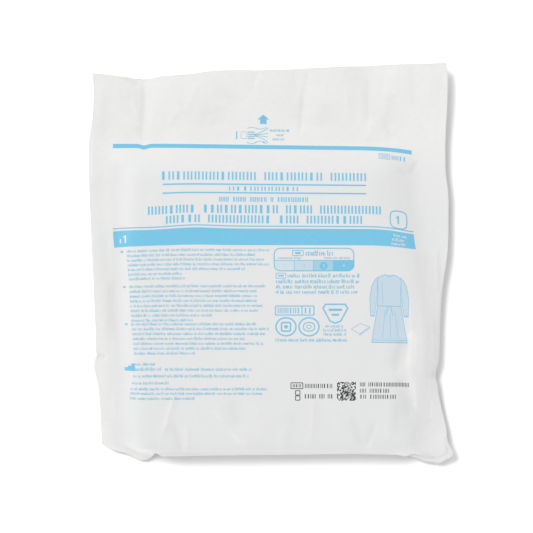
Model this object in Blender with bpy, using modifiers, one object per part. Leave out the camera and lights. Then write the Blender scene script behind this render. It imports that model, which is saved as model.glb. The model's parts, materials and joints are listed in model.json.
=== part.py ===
"""A sealed peel pouch of film, with a surgical gown folded to a flat stack inside it.

The pouch lies on its back web. Its front web crosses the stack, comes down to a sealed margin on both
sides, curls under the lower end and runs out at the top into a free flap, where the two webs are peeled
apart. Both lower corners of the sealed edge stand out as flat ears. X runs across the pouch, Y towards
the peel flap, and Z up.
"""

import math
from collections import namedtuple

import bmesh
import bpy
from mathutils import Matrix

MM = 0.001

# Walls and clearances, in millimetres
WALL = 1.0
SEAM_GAP = 0.35
GOWN_CLEARANCE = 2.9  # from the front web's outer face down to the folded gown

# The pack, in millimetres
PACK_HEIGHT = 27.5
CROWN_RISE = 2.0
CROWN_HALF_WIDTH = 120.0
CROWN_HALF_LENGTH = 125.0
CROWN_MIDDLE_Y = -30.0
TROUGH_Z = 6.5  # where the webs meet beside the stack
TOP_SEAL_Y = 98.0
TOP_SHOULDER_Y = 74.0
BACK_RISE = 10.0  # width over which the back web climbs from the ground to its margin

# The lower end, in millimetres
END_RUN = 11.0  # from the last full-height section to the end's outline
END_SEAM_Z = 1.6  # the tucked seam under the curl
CURL_FROM, CURL_TO = 90.0, -60.0  # degrees round the curl
EAR_FALL = 0.55  # share of the end run over which an ear comes down to its margin

# Grid of both webs, in cells
COLUMNS = 44
FLAP_ROWS = 8
PACK_ROWS = 27
END_ROWS = 7
EDGE_CROWDING = 0.4  # how much closer the columns stand near the sides
SHOULDER_CROWDING = 0.5  # how much closer the rows stand near the pack's two ends

# The folded gown, in millimetres
GOWN_FLOOR = WALL + 0.3
GOWN_TOP_Y = 85.0
GOWN_BOTTOM_Y = -152.0
GOWN_SIDE_INSET = 0.62  # share of the slope from trough to shoulder where its side stands
GOWN_CORNER = 6.0  # exponent of its rounded-square outline
GOWN_LAYERS = 5
GOWN_AROUND = 48
LAYER_GROOVE = 1.6
GOWN_SIDE_TOP = 0.86  # share of its height that the layered side takes
GOWN_BULGE = 4.5  # how far the top and bottom layers stand back from the middle one
LAYER_FROM, LAYER_TO = 0.3, 0.75  # shares of a layer between which its edge is full
# Rings below and above the layers: inset from the outline, share of the stack's height.
GOWN_FOOT = [(9.0, 0.0), (6.0, 0.03)]
GOWN_CROWN = [(5.0, 0.93), (10.0, 0.98), (22.0, 1.0), (42.0, 1.0), (66.0, 1.0), (90.0, 1.0)]

# Finishes
WEB_COLOUR = (0.80, 0.80, 0.79, 1.0)
WEB_ROUGHNESS = 0.45
GOWN_COLOUR = (0.28, 0.50, 0.68, 1.0)
GOWN_ROUGHNESS = 0.85

# Sealed edges. x or y is the place along the edge, z the height at which the margin hovers.
SideRow = namedtuple("SideRow", "y x z")
LEFT_EDGE = [
    SideRow(-147.2, -137.4, 7.0),
    SideRow(-119.4, -137.9, 9.0),
    SideRow(-95.0, -141.3, 9.0),
    SideRow(-80.0, -143.8, 9.0),
    SideRow(-72.0, -142.2, 9.0),
    SideRow(-42.2, -143.3, 10.0),
    SideRow(14.8, -145.8, 10.0),
    SideRow(61.2, -147.8, 10.0),
    SideRow(98.6, -148.6, 9.0),
    SideRow(108.3, -146.2, 10.0),
    SideRow(119.8, -144.2, 11.0),
    SideRow(145.7, -143.6, 14.0),
    SideRow(153.9, -144.8, 15.0),
]
RIGHT_EDGE = [
    SideRow(-155.6, 148.4, 7.0),
    SideRow(-139.0, 144.4, 6.0),
    SideRow(-123.5, 140.3, 7.0),
    SideRow(-108.1, 136.5, 8.0),
    SideRow(-94.3, 134.0, 9.0),
    SideRow(-82.1, 135.7, 10.0),
    SideRow(-45.5, 136.5, 10.0),
    SideRow(-25.1, 138.1, 10.0),
    SideRow(-3.9, 141.8, 10.0),
    SideRow(14.8, 144.2, 10.0),
    SideRow(55.4, 144.4, 10.0),
    SideRow(75.8, 141.8, 10.0),
    SideRow(96.8, 141.7, 10.5),
    SideRow(127.2, 142.9, 11.5),
    SideRow(153.9, 141.2, 12.5),
    SideRow(160.7, 139.4, 13.0),
]
TopRow = namedtuple("TopRow", "x y z")
TOP_EDGE = [
    TopRow(-144.8, 153.9, 15.0),
    TopRow(-130.7, 152.4, 13.0),
    TopRow(-114.1, 150.7, 9.5),
    TopRow(-104.7, 148.5, 5.0),
    TopRow(-92.5, 151.3, 9.5),
    TopRow(-66.6, 152.5, 12.5),
    TopRow(-52.0, 154.9, 14.0),
    TopRow(-27.7, 156.0, 14.0),
    TopRow(-1.0, 156.1, 12.5),
    TopRow(21.8, 157.9, 9.5),
    TopRow(52.8, 158.9, 12.5),
    TopRow(78.8, 160.4, 9.0),
    TopRow(109.9, 161.2, 12.5),
    TopRow(139.4, 160.7, 13.0),
]
# The lower edge: ear is 1 where the sealed margin stands out flat, and 0 where it is curled under the stack.
EndRow = namedtuple("EndRow", "x y z ear")
LOWER_EDGE = [
    EndRow(-137.4, -147.2, 7.0, 1.0),
    EndRow(-131.3, -152.1, 6.0, 1.0),
    EndRow(-121.4, -156.1, 5.0, 1.0),
    EndRow(-108.7, -161.1, 5.0, 1.0),
    EndRow(-103.0, -160.6, 5.0, 1.0),
    EndRow(-95.0, -158.0, 5.0, 0.5),
    EndRow(-86.0, -157.4, 5.0, 0.0),
    EndRow(-40.0, -157.2, 5.0, 0.0),
    EndRow(40.0, -156.4, 5.0, 0.0),
    EndRow(103.0, -155.9, 5.0, 0.0),
    EndRow(111.0, -156.6, 5.0, 0.5),
    EndRow(118.0, -158.6, 5.0, 1.0),
    EndRow(127.1, -162.8, 5.0, 1.0),
    EndRow(136.1, -163.5, 5.0, 1.0),
    EndRow(145.0, -160.2, 6.0, 1.0),
    EndRow(148.4, -155.6, 7.0, 1.0),
]
# Across the pack: where the film leaves the stack's shoulders, and where it meets the other web in a trough.
PackRow = namedtuple("PackRow", "y left_trough left_shoulder right_shoulder right_trough")
PACK_SECTIONS = [
    PackRow(-147.0, -123.0, -103.0, 104.0, 125.0),
    PackRow(-120.0, -125.0, -105.0, 105.0, 127.0),
    PackRow(-90.0, -128.0, -108.0, 111.0, 129.5),
    PackRow(-60.0, -129.5, -110.0, 113.0, 130.5),
    PackRow(-20.0, -130.0, -111.0, 110.0, 129.0),
    PackRow(15.0, -131.0, -110.0, 98.0, 125.0),
    PackRow(35.0, -133.0, -109.0, 86.0, 121.0),
    PackRow(78.0, -134.0, -108.0, 85.0, 121.0),
    PackRow(98.0, -134.0, -107.0, 92.0, 122.0),
]
# Largest folds, each a soft ridge (rise above 0) or trough (below 0) along a straight run.
Fold = namedtuple("Fold", "x0 y0 x1 y1 half_width rise")
FOLDS = [
    Fold(-105.0, 152.0, -109.5, 86.0, 7.0, -3.6),
    Fold(-98.0, 150.0, -101.0, 96.0, 7.0, 1.6),
    Fold(23.6, 156.0, 23.6, 108.0, 10.0, -2.6),
    Fold(78.8, 166.0, 78.8, 134.0, 9.0, -2.4),
    Fold(98.0, 164.0, 98.0, 126.0, 8.0, 2.4),
    Fold(93.3, 124.0, 109.5, 99.0, 8.0, -2.6),
    Fold(-84.0, 124.0, -77.0, 108.0, 9.0, -1.8),
    Fold(-51.0, 130.0, -43.0, 108.0, 9.0, -1.8),
    Fold(-120.0, 60.0, -120.0, -70.0, 7.0, 1.4),
    Fold(106.0, -62.0, 106.0, -96.0, 7.0, -2.6),
    Fold(116.0, -26.0, 116.0, -96.0, 6.0, 1.8),
    Fold(100.0, -112.0, 124.0, -150.0, 10.0, -4.2),
    Fold(114.0, -102.0, 125.0, -130.0, 7.0, 2.2),
    Fold(-119.0, -112.0, -108.0, -140.0, 8.0, 2.4),
    Fold(-84.0, -114.0, -86.0, -136.0, 6.0, -1.8),
    Fold(-44.0, -122.0, -22.0, -156.0, 8.0, 1.6),
]


def smooth_at(rows, key, column, place):
    """The value of a column at a place between a table's rows, on a smooth curve through them."""
    keys = [getattr(row, key) for row in rows]
    values = [getattr(row, column) for row in rows]
    if place <= keys[0]:
        return values[0]
    if place >= keys[-1]:
        return values[-1]
    i = max(k for k in range(len(keys) - 1) if keys[k] <= place)

    def slope(k):
        """Slope at row k: the gentler neighbour's, and none at a peak, so the curve never overshoots."""
        if k == 0 or k == len(keys) - 1:
            return 0.0
        before = (values[k] - values[k - 1]) / (keys[k] - keys[k - 1])
        after = (values[k + 1] - values[k]) / (keys[k + 1] - keys[k])
        if before * after <= 0.0:
            return 0.0
        return 2.0 * before * after / (before + after)

    run = keys[i + 1] - keys[i]
    t = (place - keys[i]) / run
    return (
        values[i] * (2 * t**3 - 3 * t**2 + 1)
        + values[i + 1] * (3 * t**2 - 2 * t**3)
        + run * slope(i) * (t**3 - 2 * t**2 + t)
        + run * slope(i + 1) * (t**3 - t**2)
    )


def ease(t):
    """0 to 1 with no corner at either end."""
    t = min(max(t, 0.0), 1.0)
    return t * t * (3.0 - 2.0 * t)


def mix(a, b, share):
    """a at a share of 0, b at 1."""
    return a + (b - a) * share


def section(column, y):
    """A place across the pack at y, from its sections."""
    return smooth_at(PACK_SECTIONS, "y", column, y)


def left_x(y):
    """Where the left sealed edge stands at y."""
    return smooth_at(LEFT_EDGE, "y", "x", y)


def right_x(y):
    """Where the right sealed edge stands at y."""
    return smooth_at(RIGHT_EDGE, "y", "x", y)


def fold_rise(x, y):
    """Sum of the folds at a point: a bell across each run, fading at both of its ends."""
    rise = 0.0
    for fold in FOLDS:
        run_x, run_y = fold.x1 - fold.x0, fold.y1 - fold.y0
        length = math.hypot(run_x, run_y)
        along = ((x - fold.x0) * run_x + (y - fold.y0) * run_y) / length**2
        across = ((x - fold.x0) * run_y - (y - fold.y0) * run_x) / length
        if 0.0 < along < 1.0:
            fade = ease(4.0 * along) * ease(4.0 * (1.0 - along))
            rise += fold.rise * fade * math.exp(-((across / fold.half_width) ** 2))
    return rise


def margin_z(x, y):
    """Height of the sheet that both webs share: the sealed margins, and the flap above the top seal."""
    left, right = section("left_trough", y), section("right_trough", y)
    if x < left:
        edge = smooth_at(LEFT_EDGE, "y", "z", y)
        z = mix(TROUGH_Z, edge, ease((left - x) / (left - left_x(y))))
    elif x > right:
        edge = smooth_at(RIGHT_EDGE, "y", "z", y)
        z = mix(TROUGH_Z, edge, ease((x - right) / (right_x(y) - right)))
    else:
        z = TROUGH_Z
    top_y = smooth_at(TOP_EDGE, "x", "y", x)
    lift = ease((y - TOP_SEAL_Y) / (top_y - TOP_SEAL_Y))
    return mix(z, smooth_at(TOP_EDGE, "x", "z", x), lift)


def pack_share(x, y):
    """0 on the margins and the flap, 1 on top of the stack."""
    left = ease(
        (x - section("left_trough", y)) / (section("left_shoulder", y) - section("left_trough", y))
    )
    right = ease(
        (section("right_trough", y) - x) / (section("right_trough", y) - section("right_shoulder", y))
    )
    top = ease((TOP_SEAL_Y - y) / (TOP_SEAL_Y - TOP_SHOULDER_Y))
    return left * right * top


def crown_z(x, y):
    """Height of the film on top of the stack, a little higher in the middle."""
    across = max(0.0, 1.0 - (x / CROWN_HALF_WIDTH) ** 2)
    along = max(0.0, 1.0 - ((y - CROWN_MIDDLE_Y) / CROWN_HALF_LENGTH) ** 2)
    return PACK_HEIGHT + CROWN_RISE * across * along


def film_z(x, y):
    """Outer height of the front web, from the flap to where the lower end begins."""
    share = pack_share(x, y)
    return mix(margin_z(x, y), crown_z(x, y), share) + fold_rise(x, y)


def end_start(x):
    """Y at which the lower end begins."""
    return smooth_at(LOWER_EDGE, "x", "y", x) + END_RUN


def end_fall(part):
    """1 at the start of an ear's end and 0 on its flat margin."""
    return 1.0 - ease(part / EAR_FALL)


def crowded(even, crowding):
    """An even share from 0 to 1, drawn towards both of its ends."""
    return mix(even, 0.5 * (1.0 - math.cos(math.pi * even)), crowding)


def web_places():
    """Rows of (x, y, part), from the flap's edge down: part runs from 0 to 1 over the lower end."""
    rows = []
    for i in range(FLAP_ROWS + PACK_ROWS + END_ROWS + 1):
        row = []
        for j in range(COLUMNS + 1):
            s = crowded(j / COLUMNS, EDGE_CROWDING)
            top_x = mix(LEFT_EDGE[-1].x, RIGHT_EDGE[-1].x, s)
            low_x = mix(LOWER_EDGE[0].x, LOWER_EDGE[-1].x, s)
            top_y, start_y = smooth_at(TOP_EDGE, "x", "y", top_x), end_start(low_x)
            if i <= FLAP_ROWS:
                y, part = mix(top_y, TOP_SEAL_Y, i / FLAP_ROWS), 0.0
            elif i <= FLAP_ROWS + PACK_ROWS:
                down = crowded((i - FLAP_ROWS) / PACK_ROWS, SHOULDER_CROWDING)
                y, part = mix(TOP_SEAL_Y, start_y, down), 0.0
            else:
                part = (i - FLAP_ROWS - PACK_ROWS) / END_ROWS
                y = start_y - END_RUN * part
            row.append((mix(left_x(y), right_x(y), s), y, part))
        rows.append(row)
    return rows


def front_point(x, y, part):
    """Outer face of the front web."""
    if part == 0.0:
        return x, y, film_z(x, y)
    start_y = y + END_RUN * part
    start_z = film_z(x, start_y)
    angle = math.radians(mix(CURL_FROM, CURL_TO, part))
    half_height = (start_z - END_SEAM_Z) / (1.0 - math.sin(math.radians(CURL_TO)))
    curl_y = start_y - END_RUN * math.cos(angle)
    curl_z = start_z - half_height * (1.0 - math.sin(angle))
    ear = smooth_at(LOWER_EDGE, "x", "ear", x)
    ear_z = mix(smooth_at(LOWER_EDGE, "x", "z", x), start_z, end_fall(part))
    return x, mix(curl_y, y, ear), mix(curl_z, ear_z, ear)


def back_point(x, y, part):
    """The sheet that the back web hangs from, and how far it has risen there from the ground."""
    left, right = section("left_trough", y), section("right_trough", y)
    down = ease((x - left) / BACK_RISE) * ease((right - x) / BACK_RISE)
    down *= ease((TOP_SEAL_Y - y) / BACK_RISE)
    if part == 0.0:
        return x, y, margin_z(x, y) + fold_rise(x, y), 1.0 - down
    start_y = y + END_RUN * part
    ear = smooth_at(LOWER_EDGE, "x", "ear", x)
    tuck = END_RUN * math.cos(math.radians(CURL_TO))
    sheet = margin_z(x, start_y) + fold_rise(x, start_y)
    z = mix(smooth_at(LOWER_EDGE, "x", "z", x), sheet, end_fall(part))
    down *= 1.0 - ear * (1.0 - end_fall(part))
    return x, y + (1.0 - ear) * tuck * part, z, 1.0 - down


def normals_of(points):
    """Unit normals of a grid of points, facing up, from each point's neighbours."""
    rows, columns = len(points), len(points[0])
    normals = []
    for i in range(rows):
        line = []
        for j in range(columns):
            a, b = points[i][max(j - 1, 0)], points[i][min(j + 1, columns - 1)]
            c, d = points[min(i + 1, rows - 1)][j], points[max(i - 1, 0)][j]
            u = [b[k] - a[k] for k in range(3)]
            v = [d[k] - c[k] for k in range(3)]
            cross = (
                u[1] * v[2] - u[2] * v[1],
                u[2] * v[0] - u[0] * v[2],
                u[0] * v[1] - u[1] * v[0],
            )
            length = math.sqrt(sum(k * k for k in cross))
            line.append(tuple(k / length for k in cross))
        normals.append(line)
    return normals


def front_grid():
    """Outer face of the front web, row by row."""
    return [[front_point(*place) for place in row] for row in web_places()]


def back_grid():
    """Upper face of the back web: parallel to the front web on the margins, flat on the ground between."""
    sheet = [[back_point(*place) for place in row] for row in web_places()]
    grid = []
    for row, normals in zip(sheet, normals_of(sheet)):
        line = []
        for (x, y, z, risen), normal in zip(row, normals):
            below = WALL + SEAM_GAP
            hung = (x - normal[0] * below, y - normal[1] * below, z - normal[2] * below)
            line.append(tuple(mix(flat, up, risen) for flat, up in zip((x, y, WALL), hung)))
        grid.append(line)
    return grid


def placed(x, y, z):
    """A point in metres."""
    return (x * MM, y * MM, z * MM)


def material(name, colour, roughness):
    """A plain finish of one colour."""
    finish = bpy.data.materials.new(name)
    finish.use_nodes = True
    shader = finish.node_tree.nodes["Principled BSDF"]
    shader.inputs["Base Color"].default_value = colour
    shader.inputs["Roughness"].default_value = roughness
    shader.inputs["Metallic"].default_value = 0.0
    return finish


def add_object(collection, name, mesh, finish):
    """An object of the mesh in its finish, in the part's collection."""
    mesh.materials.append(finish)
    mesh.shade_smooth()
    obj = bpy.data.objects.new(name, mesh)
    collection.objects.link(obj)
    return obj


def web(collection, name, grid, finish):
    """A film web: an open grid moved to its points, thickened downwards."""
    rows, columns = len(grid), len(grid[0])
    bm = bmesh.new()
    bmesh.ops.create_grid(bm, x_segments=columns - 1, y_segments=rows - 1, size=1.0)
    for vert in bm.verts:
        j = round((vert.co.x + 1.0) / 2.0 * (columns - 1))
        i = round((1.0 - vert.co.y) / 2.0 * (rows - 1))
        vert.co = placed(*grid[i][j])
    bmesh.ops.triangulate(bm, faces=bm.faces, quad_method="FIXED")
    mesh = bpy.data.meshes.new(name)
    bm.to_mesh(mesh)
    bm.free()
    obj = add_object(collection, name, mesh, finish)
    wall = obj.modifiers.new("wall", "SOLIDIFY")
    wall.thickness = WALL * MM
    wall.offset = -1.0
    return obj


def film_over(x, y):
    """Outer height of the front web over a point of the stack, its curled end included."""
    start_y = end_start(x)
    if y >= start_y:
        return film_z(x, y)
    top = film_z(x, start_y)
    half_height = (top - END_SEAM_Z) / (1.0 - math.sin(math.radians(CURL_TO)))
    out = min((start_y - y) / END_RUN, 1.0)
    curl = top - half_height * (1.0 - math.sqrt(1.0 - out * out))
    ear = smooth_at(LOWER_EDGE, "x", "ear", x)
    return mix(curl, mix(smooth_at(LOWER_EDGE, "x", "z", x), top, end_fall(out)), ear)


def gown_rings():
    """Rings of the stack from its floor up: (inset from its outline, share of its height)."""
    rings = list(GOWN_FOOT)
    for layer in range(GOWN_LAYERS):
        low = GOWN_SIDE_TOP * layer / GOWN_LAYERS
        high = GOWN_SIDE_TOP * (layer + 1) / GOWN_LAYERS
        inset = GOWN_BULGE * (low + high - 1.0) ** 2
        rings += [(inset, mix(low, high, LAYER_FROM)), (inset, mix(low, high, LAYER_TO))]
        if layer < GOWN_LAYERS - 1:
            rings.append((inset + LAYER_GROOVE, high))
    return rings + GOWN_CROWN


def gown_point(turn, inset, share):
    """A point on the stack's outline, pulled inwards, at a share of the height under the film there."""
    cos, sin = math.cos(turn), math.sin(turn)
    reach = (abs(cos) ** GOWN_CORNER + abs(sin) ** GOWN_CORNER) ** (-1.0 / GOWN_CORNER)
    half_length = (GOWN_TOP_Y - GOWN_BOTTOM_Y) / 2.0
    y = (GOWN_TOP_Y + GOWN_BOTTOM_Y) / 2.0 + sin * reach * (half_length - inset)
    left = mix(section("left_trough", y), section("left_shoulder", y), GOWN_SIDE_INSET)
    right = mix(section("right_trough", y), section("right_shoulder", y), GOWN_SIDE_INSET)
    x = (left + right) / 2.0 + cos * reach * ((right - left) / 2.0 - inset)
    z = mix(GOWN_FLOOR, film_over(x, y) - GOWN_CLEARANCE, share)
    return x, y, z


def folded_gown(collection, finish):
    """The folded stack, lofted through its rings: grooves between layers, a top that follows the film."""
    turns = [2.0 * math.pi * k / GOWN_AROUND for k in range(GOWN_AROUND)]
    bm = bmesh.new()
    rings = [
        [bm.verts.new(placed(*gown_point(turn, inset, share))) for turn in turns]
        for inset, share in gown_rings()
    ]
    for low, high in zip(rings, rings[1:]):
        for k in range(GOWN_AROUND):
            after = (k + 1) % GOWN_AROUND
            bm.faces.new((low[k], low[after], high[after], high[k]))
    bm.faces.new(list(reversed(rings[0])))
    bm.faces.new(rings[-1])
    mesh = bpy.data.meshes.new("folded_gown")
    bm.to_mesh(mesh)
    bm.free()
    return add_object(collection, "folded_gown", mesh, finish)


def centre_on_origin(objects):
    """Moves the meshes so that the middle of their plan box stands over the origin."""
    depsgraph = bpy.context.evaluated_depsgraph_get()
    corners = [corner for obj in objects for corner in obj.evaluated_get(depsgraph).bound_box]
    middle_x, middle_y = ((min(line) + max(line)) / 2.0 for line in list(zip(*corners))[:2])
    for obj in objects:
        obj.data.transform(Matrix.Translation((-middle_x, -middle_y, 0.0)))


def main():
    """Builds the pouch's three pieces in an empty scene."""
    for obj in list(bpy.data.objects):
        bpy.data.objects.remove(obj)
    collection = bpy.data.collections.new("gown_pouch")
    bpy.context.scene.collection.children.link(collection)
    centre_on_origin(
        [
            web(collection, "front_web", front_grid(), material("front_film", WEB_COLOUR, WEB_ROUGHNESS)),
            web(collection, "back_web", back_grid(), material("back_film", WEB_COLOUR, WEB_ROUGHNESS)),
            folded_gown(collection, material("gown_cloth", GOWN_COLOUR, GOWN_ROUGHNESS)),
        ]
    )


main()
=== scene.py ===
"""The looks of a sealed peel pouch of white film, printed in pale blue, with a folded surgical gown inside.

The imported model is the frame: every piece is made from its nodes, in metres, at the place that they have there. X runs
across the pouch, Y towards the peel flap and Z up. Tables of folds and of print are in millimetres, in that same frame.
"""

import json
import logging
import math
import random
from contextlib import contextmanager
from dataclasses import dataclass, field
from enum import Enum
from typing import Any, Callable, ClassVar, Iterator, Mapping, Sequence

import bmesh
import bpy
import numpy as np
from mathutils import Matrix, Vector, kdtree, noise
from mathutils.bvhtree import BVHTree

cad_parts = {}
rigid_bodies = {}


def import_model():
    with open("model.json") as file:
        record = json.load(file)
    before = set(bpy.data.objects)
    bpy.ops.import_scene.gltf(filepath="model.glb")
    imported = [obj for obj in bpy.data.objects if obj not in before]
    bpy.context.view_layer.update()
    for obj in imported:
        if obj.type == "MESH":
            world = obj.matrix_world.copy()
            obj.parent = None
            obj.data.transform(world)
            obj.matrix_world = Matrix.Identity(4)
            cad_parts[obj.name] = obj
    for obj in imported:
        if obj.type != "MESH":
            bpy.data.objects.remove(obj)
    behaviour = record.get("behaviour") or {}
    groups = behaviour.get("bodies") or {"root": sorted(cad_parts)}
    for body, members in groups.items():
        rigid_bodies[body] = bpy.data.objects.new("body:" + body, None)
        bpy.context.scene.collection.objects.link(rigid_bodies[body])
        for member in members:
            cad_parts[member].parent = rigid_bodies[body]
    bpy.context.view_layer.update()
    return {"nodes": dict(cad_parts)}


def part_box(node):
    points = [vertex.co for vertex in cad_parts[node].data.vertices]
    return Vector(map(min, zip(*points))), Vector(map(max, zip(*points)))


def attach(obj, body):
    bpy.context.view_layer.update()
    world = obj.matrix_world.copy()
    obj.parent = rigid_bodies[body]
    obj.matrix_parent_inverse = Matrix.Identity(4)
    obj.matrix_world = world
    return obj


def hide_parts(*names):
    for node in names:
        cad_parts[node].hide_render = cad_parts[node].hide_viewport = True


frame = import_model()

LOG = logging.getLogger("pouch")
MM = 0.001
BODY = "root"
CAD_WALL = 1.0  # of both webs in the frame, in millimetres
MERGE_WITHIN = 1e-6
PLASTIC_IOR = 1.46
Colour = tuple[float, float, float, float]
Point = tuple[float, float]
Place = tuple[float, float, float]
Span = tuple[float, float]
Grain = tuple[float, float, Point]  # waves a metre, octaves of finer noise, and the stretch along X and Y
Row = tuple[float, ...]
Table = tuple[Row, ...]
TextBlock = tuple[Point, float, float, Row]
LargeLine = tuple[float, float, float, float, tuple[int, ...], float]
Number = tuple[str, float, float, float]


class Ink(Enum):
    """What a mark is printed in: the record's slot, and the colour that the film has there."""

    BLUE = ("blue_ink", (0.150, 0.487, 0.700, 1.0))
    HALF_BLUE = ("blue_ink", (0.321, 0.549, 0.680, 1.0))
    PALE_BLUE = ("blue_ink", (0.505, 0.614, 0.697, 1.0))
    FAINT_BLUE = ("blue_ink", (0.570, 0.652, 0.710, 1.0))
    BLACK = ("black_ink", (0.020, 0.021, 0.025, 1.0))
    OPEN = ("front_film", (0.715, 0.718, 0.718, 1.0))

    def __init__(self, slot: str, colour: Colour) -> None:
        """Names the two parts of the value."""
        self.slot = slot
        self.colour = colour


# --------------------------------------------------------------------------------------------------------------------
# Shader nodes
# --------------------------------------------------------------------------------------------------------------------


class Wire:
    """One output socket of a material, on which arithmetic adds Math nodes."""

    def __init__(self, bench: "NodeBench", socket: bpy.types.NodeSocket) -> None:
        """Wraps a socket of the bench's node tree."""
        self.bench = bench
        self.socket = socket

    def __add__(self, other: "Wire | float") -> "Wire":
        """self + other."""
        return self.bench.maths("ADD", self, other)

    def __radd__(self, other: float) -> "Wire":
        """other + self."""
        return self.bench.maths("ADD", other, self)

    def __sub__(self, other: "Wire | float") -> "Wire":
        """self - other."""
        return self.bench.maths("SUBTRACT", self, other)

    def __rsub__(self, other: float) -> "Wire":
        """other - self."""
        return self.bench.maths("SUBTRACT", other, self)

    def __mul__(self, other: "Wire | float") -> "Wire":
        """self * other."""
        return self.bench.maths("MULTIPLY", self, other)

    def __rmul__(self, other: float) -> "Wire":
        """other * self."""
        return self.bench.maths("MULTIPLY", other, self)

    def __neg__(self) -> "Wire":
        """-self."""
        return self.bench.maths("SUBTRACT", 0.0, self)


class NodeBench:
    """The nodes of one material, or of the studio's sky."""

    def __init__(self, owner: bpy.types.Material | bpy.types.World) -> None:
        """Switches the owner's nodes on.

        Args:
            owner: What the nodes belong to.
        """
        owner.use_nodes = True
        self.owner = owner
        self.tree = owner.node_tree
        shader = "Principled BSDF" if isinstance(owner, bpy.types.Material) else "Background"
        self.shader = self.tree.nodes[shader]

    @classmethod
    def material(cls, name: str) -> "NodeBench":
        """Starts a new material."""
        return cls(bpy.data.materials.new(name))

    def feed(self, socket: bpy.types.NodeSocket, value: Any) -> None:
        """Links a wire to a socket, or sets the socket to a value.

        Args:
            socket: The input.
            value: The wire, or what the input holds by itself.
        """
        if isinstance(value, Wire):
            self.tree.links.new(value.socket, socket)
        else:
            socket.default_value = value

    def node(
        self,
        kind: str,
        settings: Mapping[str, Any] | None = None,
        sockets: Mapping[int | str, Any] | None = None,
        out: int | str = 0,
    ) -> Wire:
        """Adds a node.

        Args:
            kind: The node's type.
            settings: Its properties, set first.
            sockets: Values or wires of its inputs, by name or number.
            out: The output that is wanted.

        Returns:
            That output, as a wire.
        """
        made = self.tree.nodes.new(kind)
        for key, value in (settings or {}).items():
            setattr(made, key, value)
        for key, value in (sockets or {}).items():
            self.feed(made.inputs[key], value)
        return Wire(self, made.outputs[out])

    def maths(self, operation: str, *values: Wire | float) -> Wire:
        """A Math node on one value or two."""
        return self.node("ShaderNodeMath", {"operation": operation}, dict(enumerate(values)))

    def place(self) -> Wire:
        """The point on the object, in metres."""
        return self.node("ShaderNodeTexCoord", out="Object")

    def axes(self) -> tuple[Wire, Wire]:
        """X and Y of the point on the object, in metres."""
        parts = self.node("ShaderNodeSeparateXYZ", sockets={0: self.place()}).socket.node.outputs
        return Wire(self, parts[0]), Wire(self, parts[1])

    def attribute(self, name: str) -> Wire:
        """The number that the mesh holds under a name at each of its points."""
        return self.node("ShaderNodeAttribute", {"attribute_name": name}, out="Fac")

    def grain(self, scale: float, detail: float, stretch: Point) -> Wire:
        """Noise from 0 to 1 on the object.

        Args:
            scale: Waves a metre.
            detail: Octaves of finer noise.
            stretch: How much closer the waves lie along X and Y.

        Returns:
            The noise's value.
        """
        turned = self.node("ShaderNodeMapping", sockets={"Vector": self.place(), "Scale": (*stretch, 1.0)})
        return self.node("ShaderNodeTexNoise", sockets={"Vector": turned, "Scale": scale, "Detail": detail})

    def blend(self, share: Wire | float, first: Any, second: Any) -> Wire:
        """Mixes two colours: the first at a share of 0, the second at 1."""
        settings = {"data_type": "RGBA"}
        return self.node("ShaderNodeMix", settings, {0: share, 6: first, 7: second}, out=2)

    def range(self, value: Wire, low: float, high: float) -> Wire:
        """0 where the value is low or less, 1 where it is high or more, smooth between them."""
        settings = {"interpolation_type": "SMOOTHSTEP"}
        return self.node("ShaderNodeMapRange", settings, {"Value": value, "From Min": low, "From Max": high})

    def set(self, **sockets: Any) -> None:
        """Feeds the shader's sockets, named with _ for a space."""
        for key, value in sockets.items():
            self.feed(self.shader.inputs[key.replace("_", " ")], value)

    def bump(self, height: Wire, distance: float, strength: float = 1.0) -> None:
        """Gives the shader relief from a height."""
        sockets = {"Strength": strength, "Distance": distance, "Height": height}
        self.set(Normal=self.node("ShaderNodeBump", sockets=sockets))


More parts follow.
